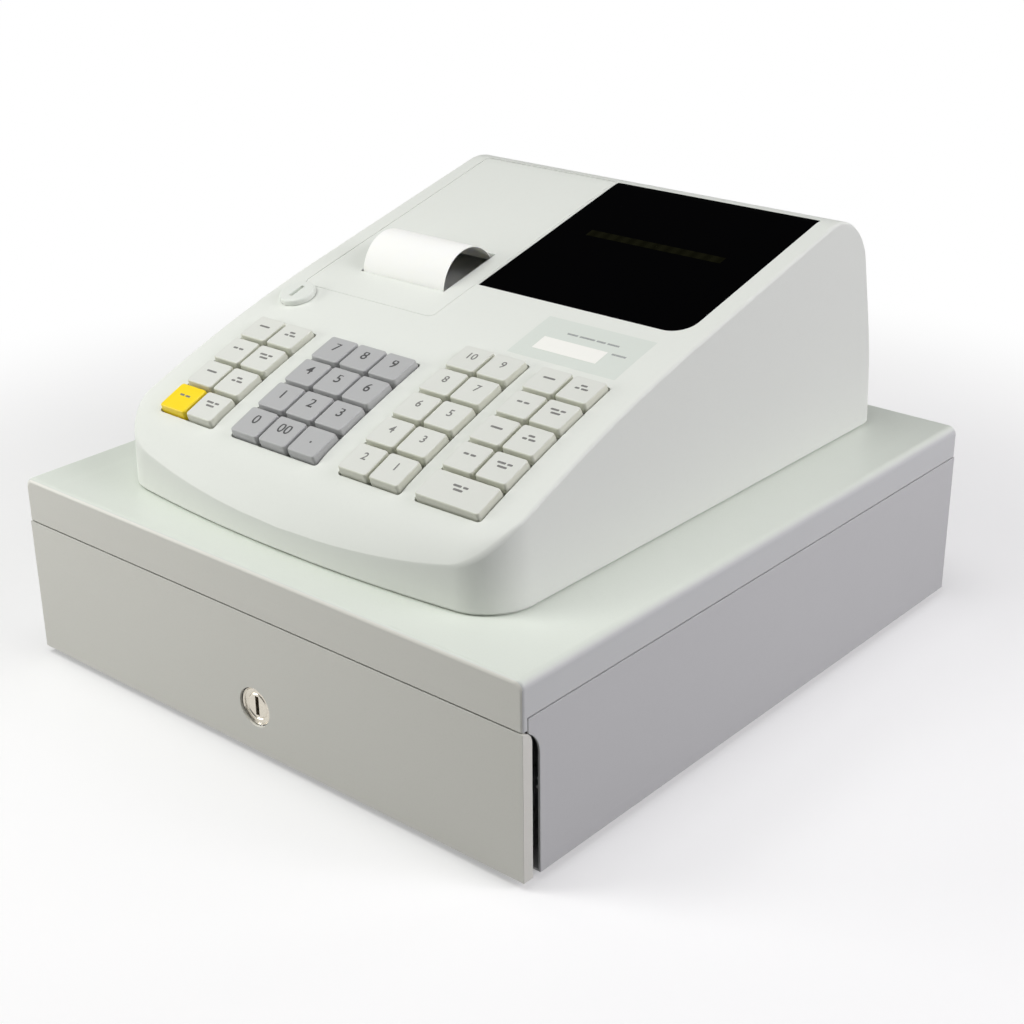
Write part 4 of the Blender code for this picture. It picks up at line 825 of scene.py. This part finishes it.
def case_slice(depth, inset, foot, fine):
    """One slice of the housing across its width, with its top edges rounded."""
    base = case_half_width(depth, inset)
    lean = math.tan(CASE_DRAFT)
    half = base - lean * (case_top(base, depth, inset) - CASE_EDGE_RADIUS - CASE_BASE)
    edge = min(CASE_EDGE_RADIUS, (case_top(base, depth, inset) - foot) / 3, half / 2)
    right = [(base - lean * (foot - CASE_BASE), foot)]
    turns = 5 if fine else 2
    for i in range(turns):
        angle = math.pi / 2 * i / turns
        x = half - edge + edge * math.cos(angle)
        right.append((x, case_top(x, depth, inset) - edge + edge * math.sin(angle)))
    stations = 26 if fine else 6
    for i in range(stations + 1):
        x = (half - edge) * math.cos(math.pi / 2 * i / stations)
        right.append((x if i < stations else 0.0, case_top(x, depth, inset)))
    left = [(-x, height) for x, height in reversed(right[:-1])]
    return [place(x, depth, height) for x, height in right + left]


def case_skin(inset, foot, fine):
    loops = []
    for depth in case_depths(inset, fine):
        if case_top(0, depth, inset) - foot > CASE_EDGE_RADIUS:
            loops.append(case_slice(depth, inset, foot, fine))
    return loft(loops)


def deck_stations(front, rear, front_radius, rear_radius):
    """Runs at which the outline of a plate in the deck, or the deck itself, changes."""
    runs = [front, rear, 0.0, DECK_RUN]
    runs += [front + run for run in rounding_runs(front_radius, CORNER_STEPS)]
    runs += [rear - run for run in rounding_runs(rear_radius, CORNER_STEPS)]
    steps = max(1, math.ceil((rear - front) / (DECK_STEP * 2)))
    runs += [front + (rear - front) * i / steps for i in range(1, steps)]
    if rear > DECK_RUN:
        runs += [DECK_RUN + (rear - DECK_RUN) * i / 4 for i in range(1, 4)]
    kept = [front]
    for run in sorted(runs):
        if run - kept[-1] > SEAT_GAP / 3 and rear - run > SEAT_GAP / 3:
            kept.append(run)
    return kept + [rear]


def deck_plate(left, right, front, rear, top, bottom, radii=(0, 0, 0)):
    """A plate parallel to the deck, with radii at its front left, front right and rear corners."""
    front_left, front_right, rear_both = radii
    loops = []
    for run in deck_stations(front, rear, max(front_left, front_right), rear_both):
        edges = []
        for radius in (front_left, front_right):
            if run > rear - rear_both:
                edges.append(quarter_inset(rear - run, rear_both))
            else:
                edges.append(quarter_inset(run - front, radius))
        x0 = left + edges[0]
        x1 = right - edges[1]
        corners = ((x0, top), (x1, top), (x1, bottom), (x0, bottom))
        loops.append([on_deck(x, run, drop) for x, drop in corners])
    return loft(loops)


def grown(edges, by):
    """A plate's left, right, front and rear edges, each moved outwards."""
    left, right, front, rear = edges
    return left - by, right + by, front - by, rear + by


# The key blocks: (name, left edge, columns, rows, whether the front row is one double key)
KEY_BLOCKS = (
    ("key_left", LEFT_BLOCK_X, 2, 4, False),
    ("key_number", NUMBER_BLOCK_X, 3, 4, False),
    ("key_department", DEPARTMENT_BLOCK_X, 2, 5, False),
    ("key_total", TOTAL_BLOCK_X, 2, 5, True),
)
KEY_FRONT_RUN = deck_run(KEY_FRONT_DEPTH)
FLOOR_BOTTOM = WELL_DEPTH + WELL_FLOOR


def key_places():
    """(name, left edge, right edge, run of its middle, columns it spans) of each key."""
    places = []
    for name, left, columns, rows, double in KEY_BLOCKS:
        number = 0
        for row in reversed(range(rows)):
            run = KEY_FRONT_RUN + (row + 0.5) * ROW_PITCH - ROW_GAP / 2
            if double and row == 0:
                places.append((f"{name}_wide", left, left + columns * KEY_PITCH - KEY_GAP, run, columns))
                continue
            for column in range(columns):
                number += 1
                start = left + column * KEY_PITCH
                places.append((f"{name}_{number:02d}", start, start + KEY_PITCH - KEY_GAP, run, 1))
    return places


def stem_centres(left, right, columns):
    middle = (left + right) / 2
    return [middle + (i - (columns - 1) / 2) * KEY_PITCH for i in range(columns)]


def well_steps():
    tubs = []
    pockets = []
    for name, left, columns, rows, _ in KEY_BLOCKS:
        right = left + columns * KEY_PITCH - KEY_GAP
        rear = KEY_FRONT_RUN + rows * ROW_PITCH - ROW_GAP
        edges = grown((left, right, KEY_FRONT_RUN, rear), WELL_MARGIN)
        tub = deck_plate(*grown(edges, WELL_WALL), CASE_WALL - SEAT_GAP, FLOOR_BOTTOM)
        tubs.append(("UNION", solid(f"{name}_tub", tub)))
        pocket = deck_plate(*edges, -OVERRUN, WELL_DEPTH, (WELL_CORNER, WELL_CORNER, WELL_CORNER))
        pockets.append(("DIFFERENCE", solid(f"{name}_pocket", pocket)))
    holes = bmesh.new()
    side = KEY_STEM + 2 * SEAT_GAP
    low = -(FLOOR_BOTTOM + WELL_FLOOR)
    high = -(WELL_DEPTH - WELL_FLOOR)
    for _, left, right, run, columns in key_places():
        for x in stem_centres(left, right, columns):
            add_post(holes, deck_frame(x, run), side, side, low, high)
    return tubs + pockets + [("DIFFERENCE", solid("stem_holes", holes))]


def seat_steps(name, edges, thickness, radii, rim, rear_gap=SEAT_GAP):
    """The frame, the rebate and the opening that a plate set into the deck needs."""
    pocket_bottom = thickness + SEAT_GAP
    ledge_bottom = pocket_bottom + SEAT_THICKNESS
    block = deck_plate(*grown(edges, rim), thickness / 2, ledge_bottom)
    left, right, front, _ = grown(edges, SEAT_GAP)
    wide = [radius + SEAT_GAP if radius else 0 for radius in radii]
    pocket = deck_plate(left, right, front, edges[3] + rear_gap, -OVERRUN, pocket_bottom, wide)
    light = deck_plate(*grown(edges, -SEAT_LEDGE), -OVERRUN, ledge_bottom + OVERRUN)
    return (
        ("UNION", solid(f"{name}_frame", block)),
        ("DIFFERENCE", solid(f"{name}_seat", pocket)),
        ("DIFFERENCE", solid(f"{name}_light", light)),
    )


def hinge_matrix(x):
    return Matrix.Translation(on_deck(x, PANEL_REAR - HINGE_PIN_INSET, HINGE_PIN_INSET)) @ TURN_RIGHT


def foot_gap():
    """A ring cut round the housing's foot, which leaves a thin dark line above the lid."""
    side = CASE_HALF_WIDTH + OVERRUN
    low = (-side, CASE_FRONT - OVERRUN, CASE_BASE - OVERRUN)
    high = (side, CASE_BACK + OVERRUN, CASE_BASE + CASE_FOOT_GAP)
    ring = solid("foot_gap", box_between(low, high))
    core = solid("foot_gap_core", case_skin(CASE_FOOT_REBATE, CASE_BASE - 2 * OVERRUN, False))
    combine(ring, [("DIFFERENCE", core)])
    return ring


def case_bores():
    """The bores for the hinge pins, the mode lock and the cord gland."""
    start = -COVER_SIDE - SEAT_GAP - HINGE_PIN_LENGTH - SEAT_GAP
    lock = deck_frame(MODE_LOCK_X, deck_run(MODE_LOCK_DEPTH))
    gland = Matrix.Translation(place(GLAND_X, CASE_BACK - OVERRUN, CASE_BASE + GLAND_LIFT)) @ TURN_BACK
    steps = []
    for name, matrix, radius, low, high, sides in (
        ("hinge_bore", hinge_matrix(start), HINGE_BORE_RADIUS, 0, PANE_LEFT - start, 16),
        ("mode_lock_hole", lock, MODE_LOCK_STEM_RADIUS + SEAT_GAP, -MODE_LOCK_STEM, MODE_LOCK_RISE, 32),
        ("gland_hole", gland, GLAND_RADIUS + SEAT_GAP, 0, 2 * OVERRUN, 32),
    ):
        steps.append(("DIFFERENCE", solid(name, turned([(radius, low), (radius, high)], matrix, sides))))
    return steps


def build_case():
    shell = solid("case_shell", case_skin(0.0, CASE_BASE, True))
    cavity = solid("case_cavity", case_skin(CASE_WALL, CASE_BASE - OVERRUN, False))
    pane = seat_steps("window", PANE_EDGES, PANE_THICKNESS, PANE_RADII, SEAT_RIM)
    rim = SEAT_RIM - RUN_GAP
    cover = seat_steps("cover", COVER_EDGES, COVER_THICKNESS, COVER_RADII, rim, COVER_REAR_GAP)
    relief = deck_plate(
        -COVER_SIDE - RUN_GAP,
        COVER_RIGHT + RUN_GAP,
        PANEL_REAR - 2 * HINGE_PIN_INSET,
        PANEL_REAR + COVER_REAR_GAP + SEAT_GAP,
        COVER_THICKNESS,
        HINGE_PIN_INSET * (1 + math.sqrt(2)) + SEAT_GAP,
    )
    steps = [("DIFFERENCE", cavity), pane[0], cover[0], *pane[1:], *cover[1:]]
    steps.append(("DIFFERENCE", solid("hinge_relief", relief)))
    steps += well_steps()
    steps.append(("DIFFERENCE", foot_gap()))
    combine(shell, steps + case_bores())
    dress(shell, CASE_PLASTIC, "register", ("upper_case",))


def build_window():
    pane = solid("window_pane", deck_plate(*PANE_EDGES, 0.0, PANE_THICKNESS, PANE_RADII))
    round_edges(pane, EDGE_ROUNDING)
    dress(pane, WINDOW_PLASTIC, "register", ("display_window",))


def inlay(name, left, right, front_depth, rear_depth, material, slot, rise=INK_RISE):
    """A print on the deck or the window, as thick as ink."""
    plate = deck_plate(left, right, deck_run(front_depth), deck_run(rear_depth), -rise, rise)
    dress(solid(name, plate), material, "register")


# Prints: (name, left edge, right edge, front depth, rear depth, material, slot, rise)
DECK_PRINTS = (
    ("display_band", 0.0040, 0.0880, 0.2420, 0.2475, DISPLAY_BAND, "window_plastic", INK_RISE),
    ("legend_panel", 0.0390, 0.1035, 0.1380, 0.1705, PANEL_PRINT, "case_plastic", INK_RISE),
    ("legend_strip", 0.0485, 0.0865, 0.1452, 0.1550, CREAM_PRINT, "case_plastic", 2 * INK_RISE),
)
# Short bars on the legend panel: (left edge, length, depth)
PANEL_BARS = (
    (0.0578, 0.0062, 0.1602),
    (0.0652, 0.0090, 0.1602),
    (0.0754, 0.0052, 0.1602),
    (0.0818, 0.0068, 0.1602),
    (0.0892, 0.0082, 0.1538),
)


def build_deck_prints():
    for row in DECK_PRINTS:
        inlay(*row)
    for number, (left, length, depth) in enumerate(PANEL_BARS, 1):
        name = f"legend_bar_{number}"
        inlay(name, left, left + length, depth, depth + BAR_HEIGHT, PALE_INK, "case_plastic", 2 * INK_RISE)


def build_printer_cover():
    cover = solid("cover_shell", deck_plate(*COVER_EDGES, 0.0, COVER_THICKNESS, COVER_RADII))
    slot_front = deck_run(SLOT_FRONT_DEPTH)
    slot = deck_plate(SLOT_LEFT, SLOT_RIGHT, slot_front, slot_front + SLOT_LENGTH, -OVERRUN, OVERRUN)
    combine(cover, [("DIFFERENCE", solid("paper_slot", slot))])
    round_edges(cover, EDGE_ROUNDING)
    bm = bmesh.new()
    bm.from_mesh(cover.data)
    for x, length in ((-COVER_SIDE - HINGE_PIN_LENGTH, HINGE_PIN_LENGTH), (COVER_RIGHT, RIB_PIN_LENGTH)):
        add_turned(bm, [(HINGE_PIN_RADIUS, 0), (HINGE_PIN_RADIUS, length)], hinge_matrix(x), 24)
    bm.to_mesh(cover.data)
    bm.free()
    dress(cover, CASE_PLASTIC, "printer_cover", ("printer_cover",))


def build_receipt():
    """The ticket strip, up from the platen through the slot and curled over to the back."""
    centre_height = deck_point(deck_run(PAPER_FRONT_DEPTH)).y - CURL_CENTRE_DROP
    centre = (PAPER_FRONT_DEPTH + CURL_RADIUS, centre_height)
    foot = centre_height - PAPER_DROP
    end = math.pi - CURL_SWEEP
    outline = [(PAPER_FRONT_DEPTH, foot)] + arc(centre, CURL_RADIUS, math.pi, end)
    outline += arc(centre, CURL_RADIUS - PAPER_THICKNESS, end, math.pi)
    outline += [(PAPER_FRONT_DEPTH + PAPER_THICKNESS, foot)]
    width = PAPER_HIGH.x - PAPER_LOW.x
    loops = []
    for i in range(PAPER_SLICES + 1):
        x = PAPER_LOW.x + width * i / PAPER_SLICES
        loops.append([place(x, depth, height) for depth, height in outline])
    strip = solid("ticket_strip", loft(loops))
    dress(strip, PAPER, "register", ("receipt_paper",), math.radians(40))


# Keys


def cap_loop(matrix, half_x, half_y, corner, height):
    points = rounded_rectangle(-half_x, -half_y, half_x, half_y, corner, math.radians(18))
    return [matrix @ Vector((x, y, height)) for x, y in points]


def add_key_cap(bm, matrix, half_x, half_y):
    """A key cap with a straight skirt, sloping sides, a rounded rim and a slightly dished top."""
    loops = []
    for inset, height in ((0, -KEY_SKIRT), (0, 0), (KEY_TOP_INSET * KEY_SIDE_SHARE, KEY_SHOULDER)):
        loops.append(cap_loop(matrix, half_x - inset, half_y - inset, KEY_CORNER - inset, height))
    for i in range(6):
        angle = math.pi / 2 * i / 5
        inset = KEY_TOP_INSET - KEY_TOP_ROUND * math.cos(angle)
        height = KEY_RISE - KEY_TOP_ROUND * (1 - math.sin(angle))
        loops.append(cap_loop(matrix, half_x - inset, half_y - inset, KEY_CORNER - inset / 2, height))
    top_x = half_x - KEY_TOP_INSET
    top_y = half_y - KEY_TOP_INSET
    corner = KEY_CORNER - KEY_TOP_INSET / 2
    for share in KEY_DISH_SHARES:
        height = KEY_RISE - KEY_DISH * (1 - share**2)
        loops.append(cap_loop(matrix, top_x * share, top_y * share, corner * share, height))
    add_loft(bm, loops)


def add_key_stem(bm, matrix):
    foot_top = -(FLOOR_BOTTOM + SEAT_GAP)
    add_post(bm, matrix, KEY_STEM, KEY_STEM, foot_top, -KEY_SKIRT)
    add_post(bm, matrix, KEY_FOOT, KEY_FOOT, foot_top - KEY_FOOT_THICKNESS, foot_top)


def mark_print(bm, first):
    """Gives the faces from the first new one on to the key's second material."""
    bm.faces.ensure_lookup_table()
    for face in bm.faces[first:]:
        face.material_index = 1


def add_words(bm, words, matrix, size):
    """Plain figures, as thin prints on a key."""
    curve = bpy.data.curves.new("figures", "FONT")
    curve.body = words
    curve.size = size
    curve.align_x = "CENTER"
    curve.align_y = "CENTER"
    curve.extrude = INK_RISE
    curve.offset = DIGIT_BOLDNESS
    curve.resolution_u = 3
    holder = add_object("figures", curve)
    graph = bpy.context.evaluated_depsgraph_get()
    graph.update()
    mesh = bpy.data.meshes.new_from_object(holder.evaluated_get(graph))
    mesh.transform(matrix)
    first = len(bm.faces)
    bm.from_mesh(mesh)
    mark_print(bm, first)
    bpy.data.objects.remove(holder, do_unlink=True)
    bpy.data.curves.remove(curve)
    bpy.data.meshes.remove(mesh)


def add_bars(bm, matrix, rows):
    """Rows of short plain bars, where a key's small words would be."""
    first = len(bm.faces)
    rounding = BAR_HEIGHT / 2 - INK_RISE
    for row, shares in enumerate(rows):
        low = ((len(rows) - 1) / 2 - row) * BAR_PITCH - BAR_HEIGHT / 2
        start = -(sum(shares) * BAR_WIDTH + (len(shares) - 1) * BAR_SPACE) / 2
        for share in shares:
            end = start + share * BAR_WIDTH
            outline = rounded_rectangle(start, low, end, low + BAR_HEIGHT, rounding, math.radians(30))
            add_loft(bm, [[matrix @ Vector((x, y, z)) for x, y in outline] for z in (-INK_RISE, INK_RISE)])
            start = end + BAR_SPACE
    mark_print(bm, first)


def number_of(name):
    ending = name.rsplit("_", 1)[1]
    return int(ending) if ending.isdigit() else 0


# The plastic and the ink of each kind of key, by its slot
KEY_FINISHES = {
    "key_white": (KEY_WHITE, GREY_INK),
    "key_grey": (KEY_GREY, DARK_INK),
    "key_yellow": (KEY_YELLOW, GREY_INK),
}


def build_keys():
    for name, left, right, run, columns in key_places():
        matrix = deck_frame((left + right) / 2, run)
        bm = bmesh.new()
        add_key_cap(bm, matrix, (right - left) / 2, (ROW_PITCH - ROW_GAP) / 2)
        for x in stem_centres(left, right, columns):
            add_key_stem(bm, deck_frame(x, run))
        bmesh.ops.recalc_face_normals(bm, faces=bm.faces)
        face = matrix @ Matrix.Translation((0, DIGIT_LIFT, KEY_RISE - KEY_DISH * PRINT_DEPTH_SHARE))
        number = number_of(name)
        slot = "key_yellow" if name == YELLOW_KEY else "key_white"
        if name.startswith("key_number"):
            slot = "key_grey"
            add_words(bm, NUMBER_WORDS[number - 1], face, DIGIT_HEIGHT)
        elif name.startswith("key_department"):
            add_words(bm, str(DEPARTMENT_KEYS + 1 - number), face, SMALL_DIGIT_HEIGHT)
        else:
            add_bars(bm, face, BAR_ROW_SHARES[number % len(BAR_ROW_SHARES)])
        cap = linked(name + "_cap", bm)
        for material in KEY_FINISHES[slot]:
            cap.data.materials.append(material)
        dress(cap, KEY_FINISHES[slot][0], name, (name,), math.radians(30))


def build_mode_lock():
    matrix = deck_frame(MODE_LOCK_X, deck_run(MODE_LOCK_DEPTH))
    head = MODE_LOCK_RADIUS
    stem = MODE_LOCK_STEM_RADIUS
    rise = MODE_LOCK_RISE
    rounding = rise / 3
    face = head - 3 * rounding
    profile = [(stem, -MODE_LOCK_STEM), (stem, SEAT_GAP), (head, SEAT_GAP)]
    profile += arc((head - rounding, rise - rounding), rounding, 0, math.pi / 2, ROUND_STEP)
    profile += [(face, rise), (face / 2, rise), (face / 8, rise)]
    lock = solid("mode_lock_head", turned(profile, matrix))
    keyway = bmesh.new()
    add_post(keyway, matrix, KEYWAY_WIDTH, KEYWAY_HEIGHT, rise - KEYWAY_WIDTH, rise + OVERRUN)
    combine(lock, [("DIFFERENCE", solid("mode_lock_keyway", keyway))])
    dress(lock, LOCK_PLASTIC, "mode_lock", ("mode_lock",))


# Cash drawer


def lid_slice(y, depth):
    ends = min(y, depth - y)
    fold = LID_FRONT_FOLD if y < depth / 2 else LID_REAR_FOLD
    half = LID_HIGH.x - quarter_inset(ends, LID_CORNER)
    top = LID_TOP - quarter_inset(ends, fold)
    roll = LID_SIDE_ROLL
    right = [(half, LID_SKIRT_FOOT)] + arc((half - roll, top - roll), roll, 0, math.pi / 2, ROLL_STEP)
    left = [(-x, height) for x, height in reversed(right)]
    return [place(x, y, height) for x, height in right + left]


def build_lid():
    depth = LID_HIGH.y - LID_LOW.y
    stations = rounding_runs(LID_FRONT_FOLD, FOLD_STEPS)
    stations += [depth * i / 12 for i in range(1, 12)]
    stations += [depth - run for run in reversed(rounding_runs(LID_REAR_FOLD, FOLD_STEPS))]
    lid = solid("lid_shell", loft([lid_slice(y, depth) for y in stations]))
    inner = LID_HIGH.x - LID_SHEET
    outer = LID_HIGH.x + OVERRUN
    roof = LID_TOP - 2 * LID_SHEET
    foot = LID_SKIRT_FOOT - OVERRUN
    skirt = CABINET_HIGH.z - FOOT_HEIGHT + LID_SIDE_SEAM
    strike_low = (-STRIKE_HALF_WIDTH, STRIKE_FRONT, LID_LOW.z - FOOT_HEIGHT)
    strike_high = (STRIKE_HALF_WIDTH, STRIKE_REAR, LID_TOP - LID_SHEET)
    steps = []
    for operation, name, low, high in (
        ("DIFFERENCE", "hollow", (-inner, LID_BAND, foot), (inner, depth - LID_SHEET, roof)),
        ("DIFFERENCE", "below", (-outer, LID_BAND, foot), (outer, depth + OVERRUN, skirt)),
        ("UNION", "strike", strike_low, strike_high),
    ):
        steps.append((operation, solid(name, box_between(low, high))))
    combine(lid, steps)
    lid.data.materials.clear()
    lid.data.materials.append(LID_PAINT)
    lid.data.materials.append(DRAWER_PAINT)
    for face in lid.data.polygons:
        ahead = face.normal.y < -FRONT_BAND_SHARE and face.center.y < LID_LOW.y + LID_FRONT_FOLD
        face.material_index = int(ahead)
    dress(lid, LID_PAINT, "register", ("lid",), math.radians(35))


def build_drawer_lock():
    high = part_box("drawer_lock")[1]
    rear = high.y + ORIGIN_DEPTH
    barrel = rear - DRAWER_LOCK_RECESS - CAM_SHEET / 2
    radius = DRAWER_LOCK_RADIUS
    plug = radius * PLUG_SHARE
    lip = DRAWER_LOCK_LIP
    profile = [
        (plug * 0.2, lip), (plug * 0.6, lip), (plug - lip, lip), (plug, lip * 1.6), (plug + lip, lip),
        (radius - 2 * lip, lip), (radius - lip, 0), (radius - lip / 2, 0), (radius, lip), (radius, barrel),
    ]
    matrix = Matrix.Translation(place(0, DRAWER_LOCK_RECESS, DRAWER_LOCK_HEIGHT)) @ TURN_BACK
    lock = solid("lock_barrel", turned(profile, matrix))
    keyway = box_between(
        (-KEYWAY_WIDTH / 2, DRAWER_LOCK_RECESS - OVERRUN, DRAWER_LOCK_HEIGHT - KEYWAY_HEIGHT / 2),
        (KEYWAY_WIDTH / 2, DRAWER_LOCK_RECESS + KEYWAY_DEPTH, DRAWER_LOCK_HEIGHT + KEYWAY_HEIGHT / 2),
    )
    cam = box_between(
        (-CAM_HALF_WIDTH, rear - CAM_SHEET, DRAWER_LOCK_HEIGHT - CAM_HALF_WIDTH),
        (high.x, rear, DRAWER_LOCK_HEIGHT + CAM_HALF_WIDTH),
    )
    combine(lock, [("UNION", solid("lock_cam", cam)), ("DIFFERENCE", solid("lock_keyway", keyway))])
    round_edges(lock, LOCK_ROUNDING, 1)
    dress(lock, NICKEL, "drawer_lock", ("drawer_lock",))


# Feet, rollers and the pieces whose CAD shape is right


def build_feet():
    for node in ("foot_front_left", "foot_rear_left", "foot_front_right", "foot_rear_right"):
        low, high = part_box(node)
        centre = (low + high) / 2
        radius = (high.x - low.x) / 2
        height = high.z - low.z
        rounding = height / 4
        flat = radius - 2 * rounding
        profile = [(radius / 3, rounding / 2), (radius / 2, 0)]
        profile += arc((flat, rounding), rounding, -math.pi / 2, 0, ROUND_STEP)
        profile += [(radius, height)]
        matrix = Matrix.Translation((centre.x, centre.y, low.z))
        foot = solid(node + "_pad", turned(profile, matrix, 48))
        dress(foot, FOOT_RUBBER, "register", (node,))


def axle(node):
    """The frame at the left end of a round node, its Z along the node's axis, and the radius and width."""
    low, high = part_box(node)
    centre = (low + high) / 2
    matrix = Matrix.Translation((low.x, centre.y, centre.z)) @ TURN_RIGHT
    return matrix, (high.z - low.z) / 2, high.x - low.x


def build_platen():
    """The rubber sleeve, as wide as the paper, and the ends of its steel shaft."""
    matrix, radius, width = axle("platen_roller")
    start = PAPER_LOW.x - matrix.translation.x
    end = start + PAPER_HIGH.x - PAPER_LOW.x
    bevel = ROUND_BEVEL
    shaft = SHAFT_RADIUS
    neck = radius - bevel
    profile = [(neck, start), (radius, start + bevel), (radius, end - bevel), (neck, end)]
    sleeve = solid("platen_rubber", turned(profile, matrix, 48))
    dress(sleeve, PLATEN_RUBBER, "platen_roller", ("platen_roller",))
    for side, profile in (
        ("left", [(shaft - bevel, 0), (shaft, bevel), (shaft, start)]),
        ("right", [(shaft, end), (shaft, width - bevel), (shaft - bevel, width)]),
    ):
        stub = solid(f"platen_shaft_{side}", turned(profile, matrix, 32))
        dress(stub, ZINC, "platen_roller")


def build_paper_roll():
    """The roll with its winds as fine rings on both faces, and its hollow core."""
    matrix, radius, width = axle("paper_roll")
    wind = (radius - ROLL_CORE_RADIUS) / ROLL_WINDS
    profile = [(ROLL_CORE_RADIUS, 0)]
    for i in range(ROLL_WINDS):
        start = ROLL_CORE_RADIUS + wind * i
        profile += [(start + ROUND_BEVEL / 2, 0), (start + wind / 2, ROUND_BEVEL / 3)]
    profile += [(radius - ROUND_BEVEL / 2, 0), (radius, ROUND_BEVEL / 2)]
    profile += [(ring, width - height) for ring, height in reversed(profile)]
    bm = bmesh.new()
    add_loft(bm, [ring_loop(ring, height, matrix, ROLL_SIDES, 0) for ring, height in profile], hollow=True)
    dress(solid("ticket_roll", bm), PAPER, "paper_roll", ("paper_roll",))


# Sheet metal, trays and boards: (name, node, material, body, slot, rounding of its edges)
COPIES = (
    ("cabinet_shell", "cabinet", CABINET_SHADED_PAINT, "register", "drawer_paint", EDGE_ROUNDING),
    ("drawer_panel", "drawer_front", DRAWER_PAINT, "drawer", "drawer_paint", PANEL_ROUNDING),
    ("drawer_tub", "drawer_box", ZINC, "drawer", "zinc_steel", EDGE_ROUNDING),
    ("tray_moulding", "cash_tray", TRAY_PLASTIC, "drawer", "tray_plastic", TRAY_ROUNDING),
    ("chassis_tray", "base_chassis", CHASSIS_PLASTIC, "register", "chassis_plastic", EDGE_ROUNDING),
    ("key_board", "main_board", BOARD_RESIN, "register", "board_resin", BOARD_ROUNDING),
    ("display_card", "display_board", BOARD_RESIN, "register", "board_resin", BOARD_ROUNDING),
    ("printer_cheeks", "printer_frame", ZINC, "register", "zinc_steel", EDGE_ROUNDING),
)


# Floor, light and background


FLOOR_REACH = 6.0
SHADOW_REACH = 0.36
SHADOW_END = 0.648
SHADOW_SOFTNESS = 0.30
FLOOR_WHITE = (0.98, 0.98, 0.98, 1)
FLOOR_BOUNCE = (0.30, 0.30, 0.31, 1)
AMBIENT_LEVEL = 0.08


def seen_by(tree, *rays):
    """1 for rays of the kinds named, and 0 for all others."""
    path = add_node(tree, "ShaderNodeLightPath")
    return add_node(tree, "ShaderNodeMath", {0: path[rays[0]], 1: path[rays[1]]}, operation="MAXIMUM")[0]


def build_floor():
    """A floor that fades to plain white round the object, and keeps the object's shadow near it."""
    bm = bmesh.new()
    corners = ((-1, -1), (1, -1), (1, 1), (-1, 1))
    bm.faces.new([bm.verts.new((x * FLOOR_REACH, y * FLOOR_REACH, 0)) for x, y in corners])
    floor = solid("floor", bm)
    made = bpy.data.materials.new("floor_white")
    made.use_nodes = True
    tree = made.node_tree
    shader = tree.nodes["Principled BSDF"]
    seen = seen_by(tree, "Is Camera Ray", "Is Glossy Ray")
    shades = {"Factor": seen, "A": FLOOR_BOUNCE, "B": FLOOR_WHITE}
    shade = add_node(tree, "ShaderNodeMix", shades, data_type="RGBA")["Result"]
    feed(tree, shader, {"Base Color": shade, "Roughness": 0.9, "Specular IOR Level": 0.0})
    where = add_node(tree, "ShaderNodeTexCoord")["Object"]
    distance = add_node(tree, "ShaderNodeVectorMath", {0: where}, operation="LENGTH")["Value"]
    fade = {"Value": distance, "From Min": SHADOW_REACH, "From Max": SHADOW_END, "To Min": SHADOW_SOFTNESS}
    far = add_node(tree, "ShaderNodeMapRange", fade, interpolation_type="SMOOTHSTEP")[0]
    white = add_node(tree, "ShaderNodeMath", {0: far, 1: seen}, operation="MULTIPLY")[0]
    glow = add_node(tree, "ShaderNodeEmission")[0]
    blend = add_node(tree, "ShaderNodeMixShader", {"Fac": white, 1: shader.outputs[0], 2: glow})[0]
    feed(tree, tree.nodes["Material Output"], {"Surface": blend})
    floor.data.materials.append(made)


def build_world():
    world = bpy.data.worlds.new("studio")
    bpy.context.scene.world = world
    world.use_nodes = True
    tree = world.node_tree
    levels = {"Value": seen_by(tree, "Is Camera Ray", "Is Transmission Ray"), "To Min": AMBIENT_LEVEL}
    level = add_node(tree, "ShaderNodeMapRange", levels)[0]
    feed(tree, tree.nodes["Background"], {"Strength": level, "Color": (1, 1, 1, 1)})


LAMP_AIM = Vector((0, 0, 0.10))
# (name, place, width, watts, colour)
LAMPS = (
    ("front_light", (-1.15, -1.00, 0.42), 0.6, 8.8, (1.0, 1.0, 0.975)),
    ("near_light", (-0.30, -0.50, 0.80), 0.35, 2.6, (1.0, 1.0, 0.985)),
    ("top_light", (0.05, -0.30, 1.50), 0.7, 6.4, (1.0, 1.0, 1.0)),
    ("right_light", (1.30, 0.22, 1.00), 0.7, 8.4, (1.0, 0.972, 1.02)),
    ("side_light", (1.40, 0.70, 0.65), 0.8, 5.8, (1.0, 0.965, 1.02)),
    ("left_light", (-1.60, 0.35, 0.45), 0.8, 1.8, (1.0, 1.0, 1.0)),
    ("back_light", (0.50, 1.70, 0.55), 0.8, 3.4, (1.0, 1.0, 1.0)),
)


def build_lamps():
    for name, where, width, watts, colour in LAMPS:
        data = bpy.data.lights.new(name, "AREA")
        data.shape = "SQUARE"
        data.size = width
        data.energy = watts
        data.color = colour
        lamp = add_object(name, data)
        lamp.location = where
        lamp.rotation_mode = "QUATERNION"
        lamp.rotation_quaternion = (LAMP_AIM - Vector(where)).to_track_quat("-Z", "Y")


def main():
    make_camera()
    build_case()
    build_window()
    build_deck_prints()
    build_printer_cover()
    build_receipt()
    build_keys()
    build_mode_lock()
    build_lid()
    build_drawer_lock()
    build_feet()
    build_platen()
    build_paper_roll()
    for row in COPIES:
        dressed_copy(*row)
    build_floor()
    build_world()
    build_lamps()
    bpy.context.scene.view_settings.view_transform = "Standard"


main()
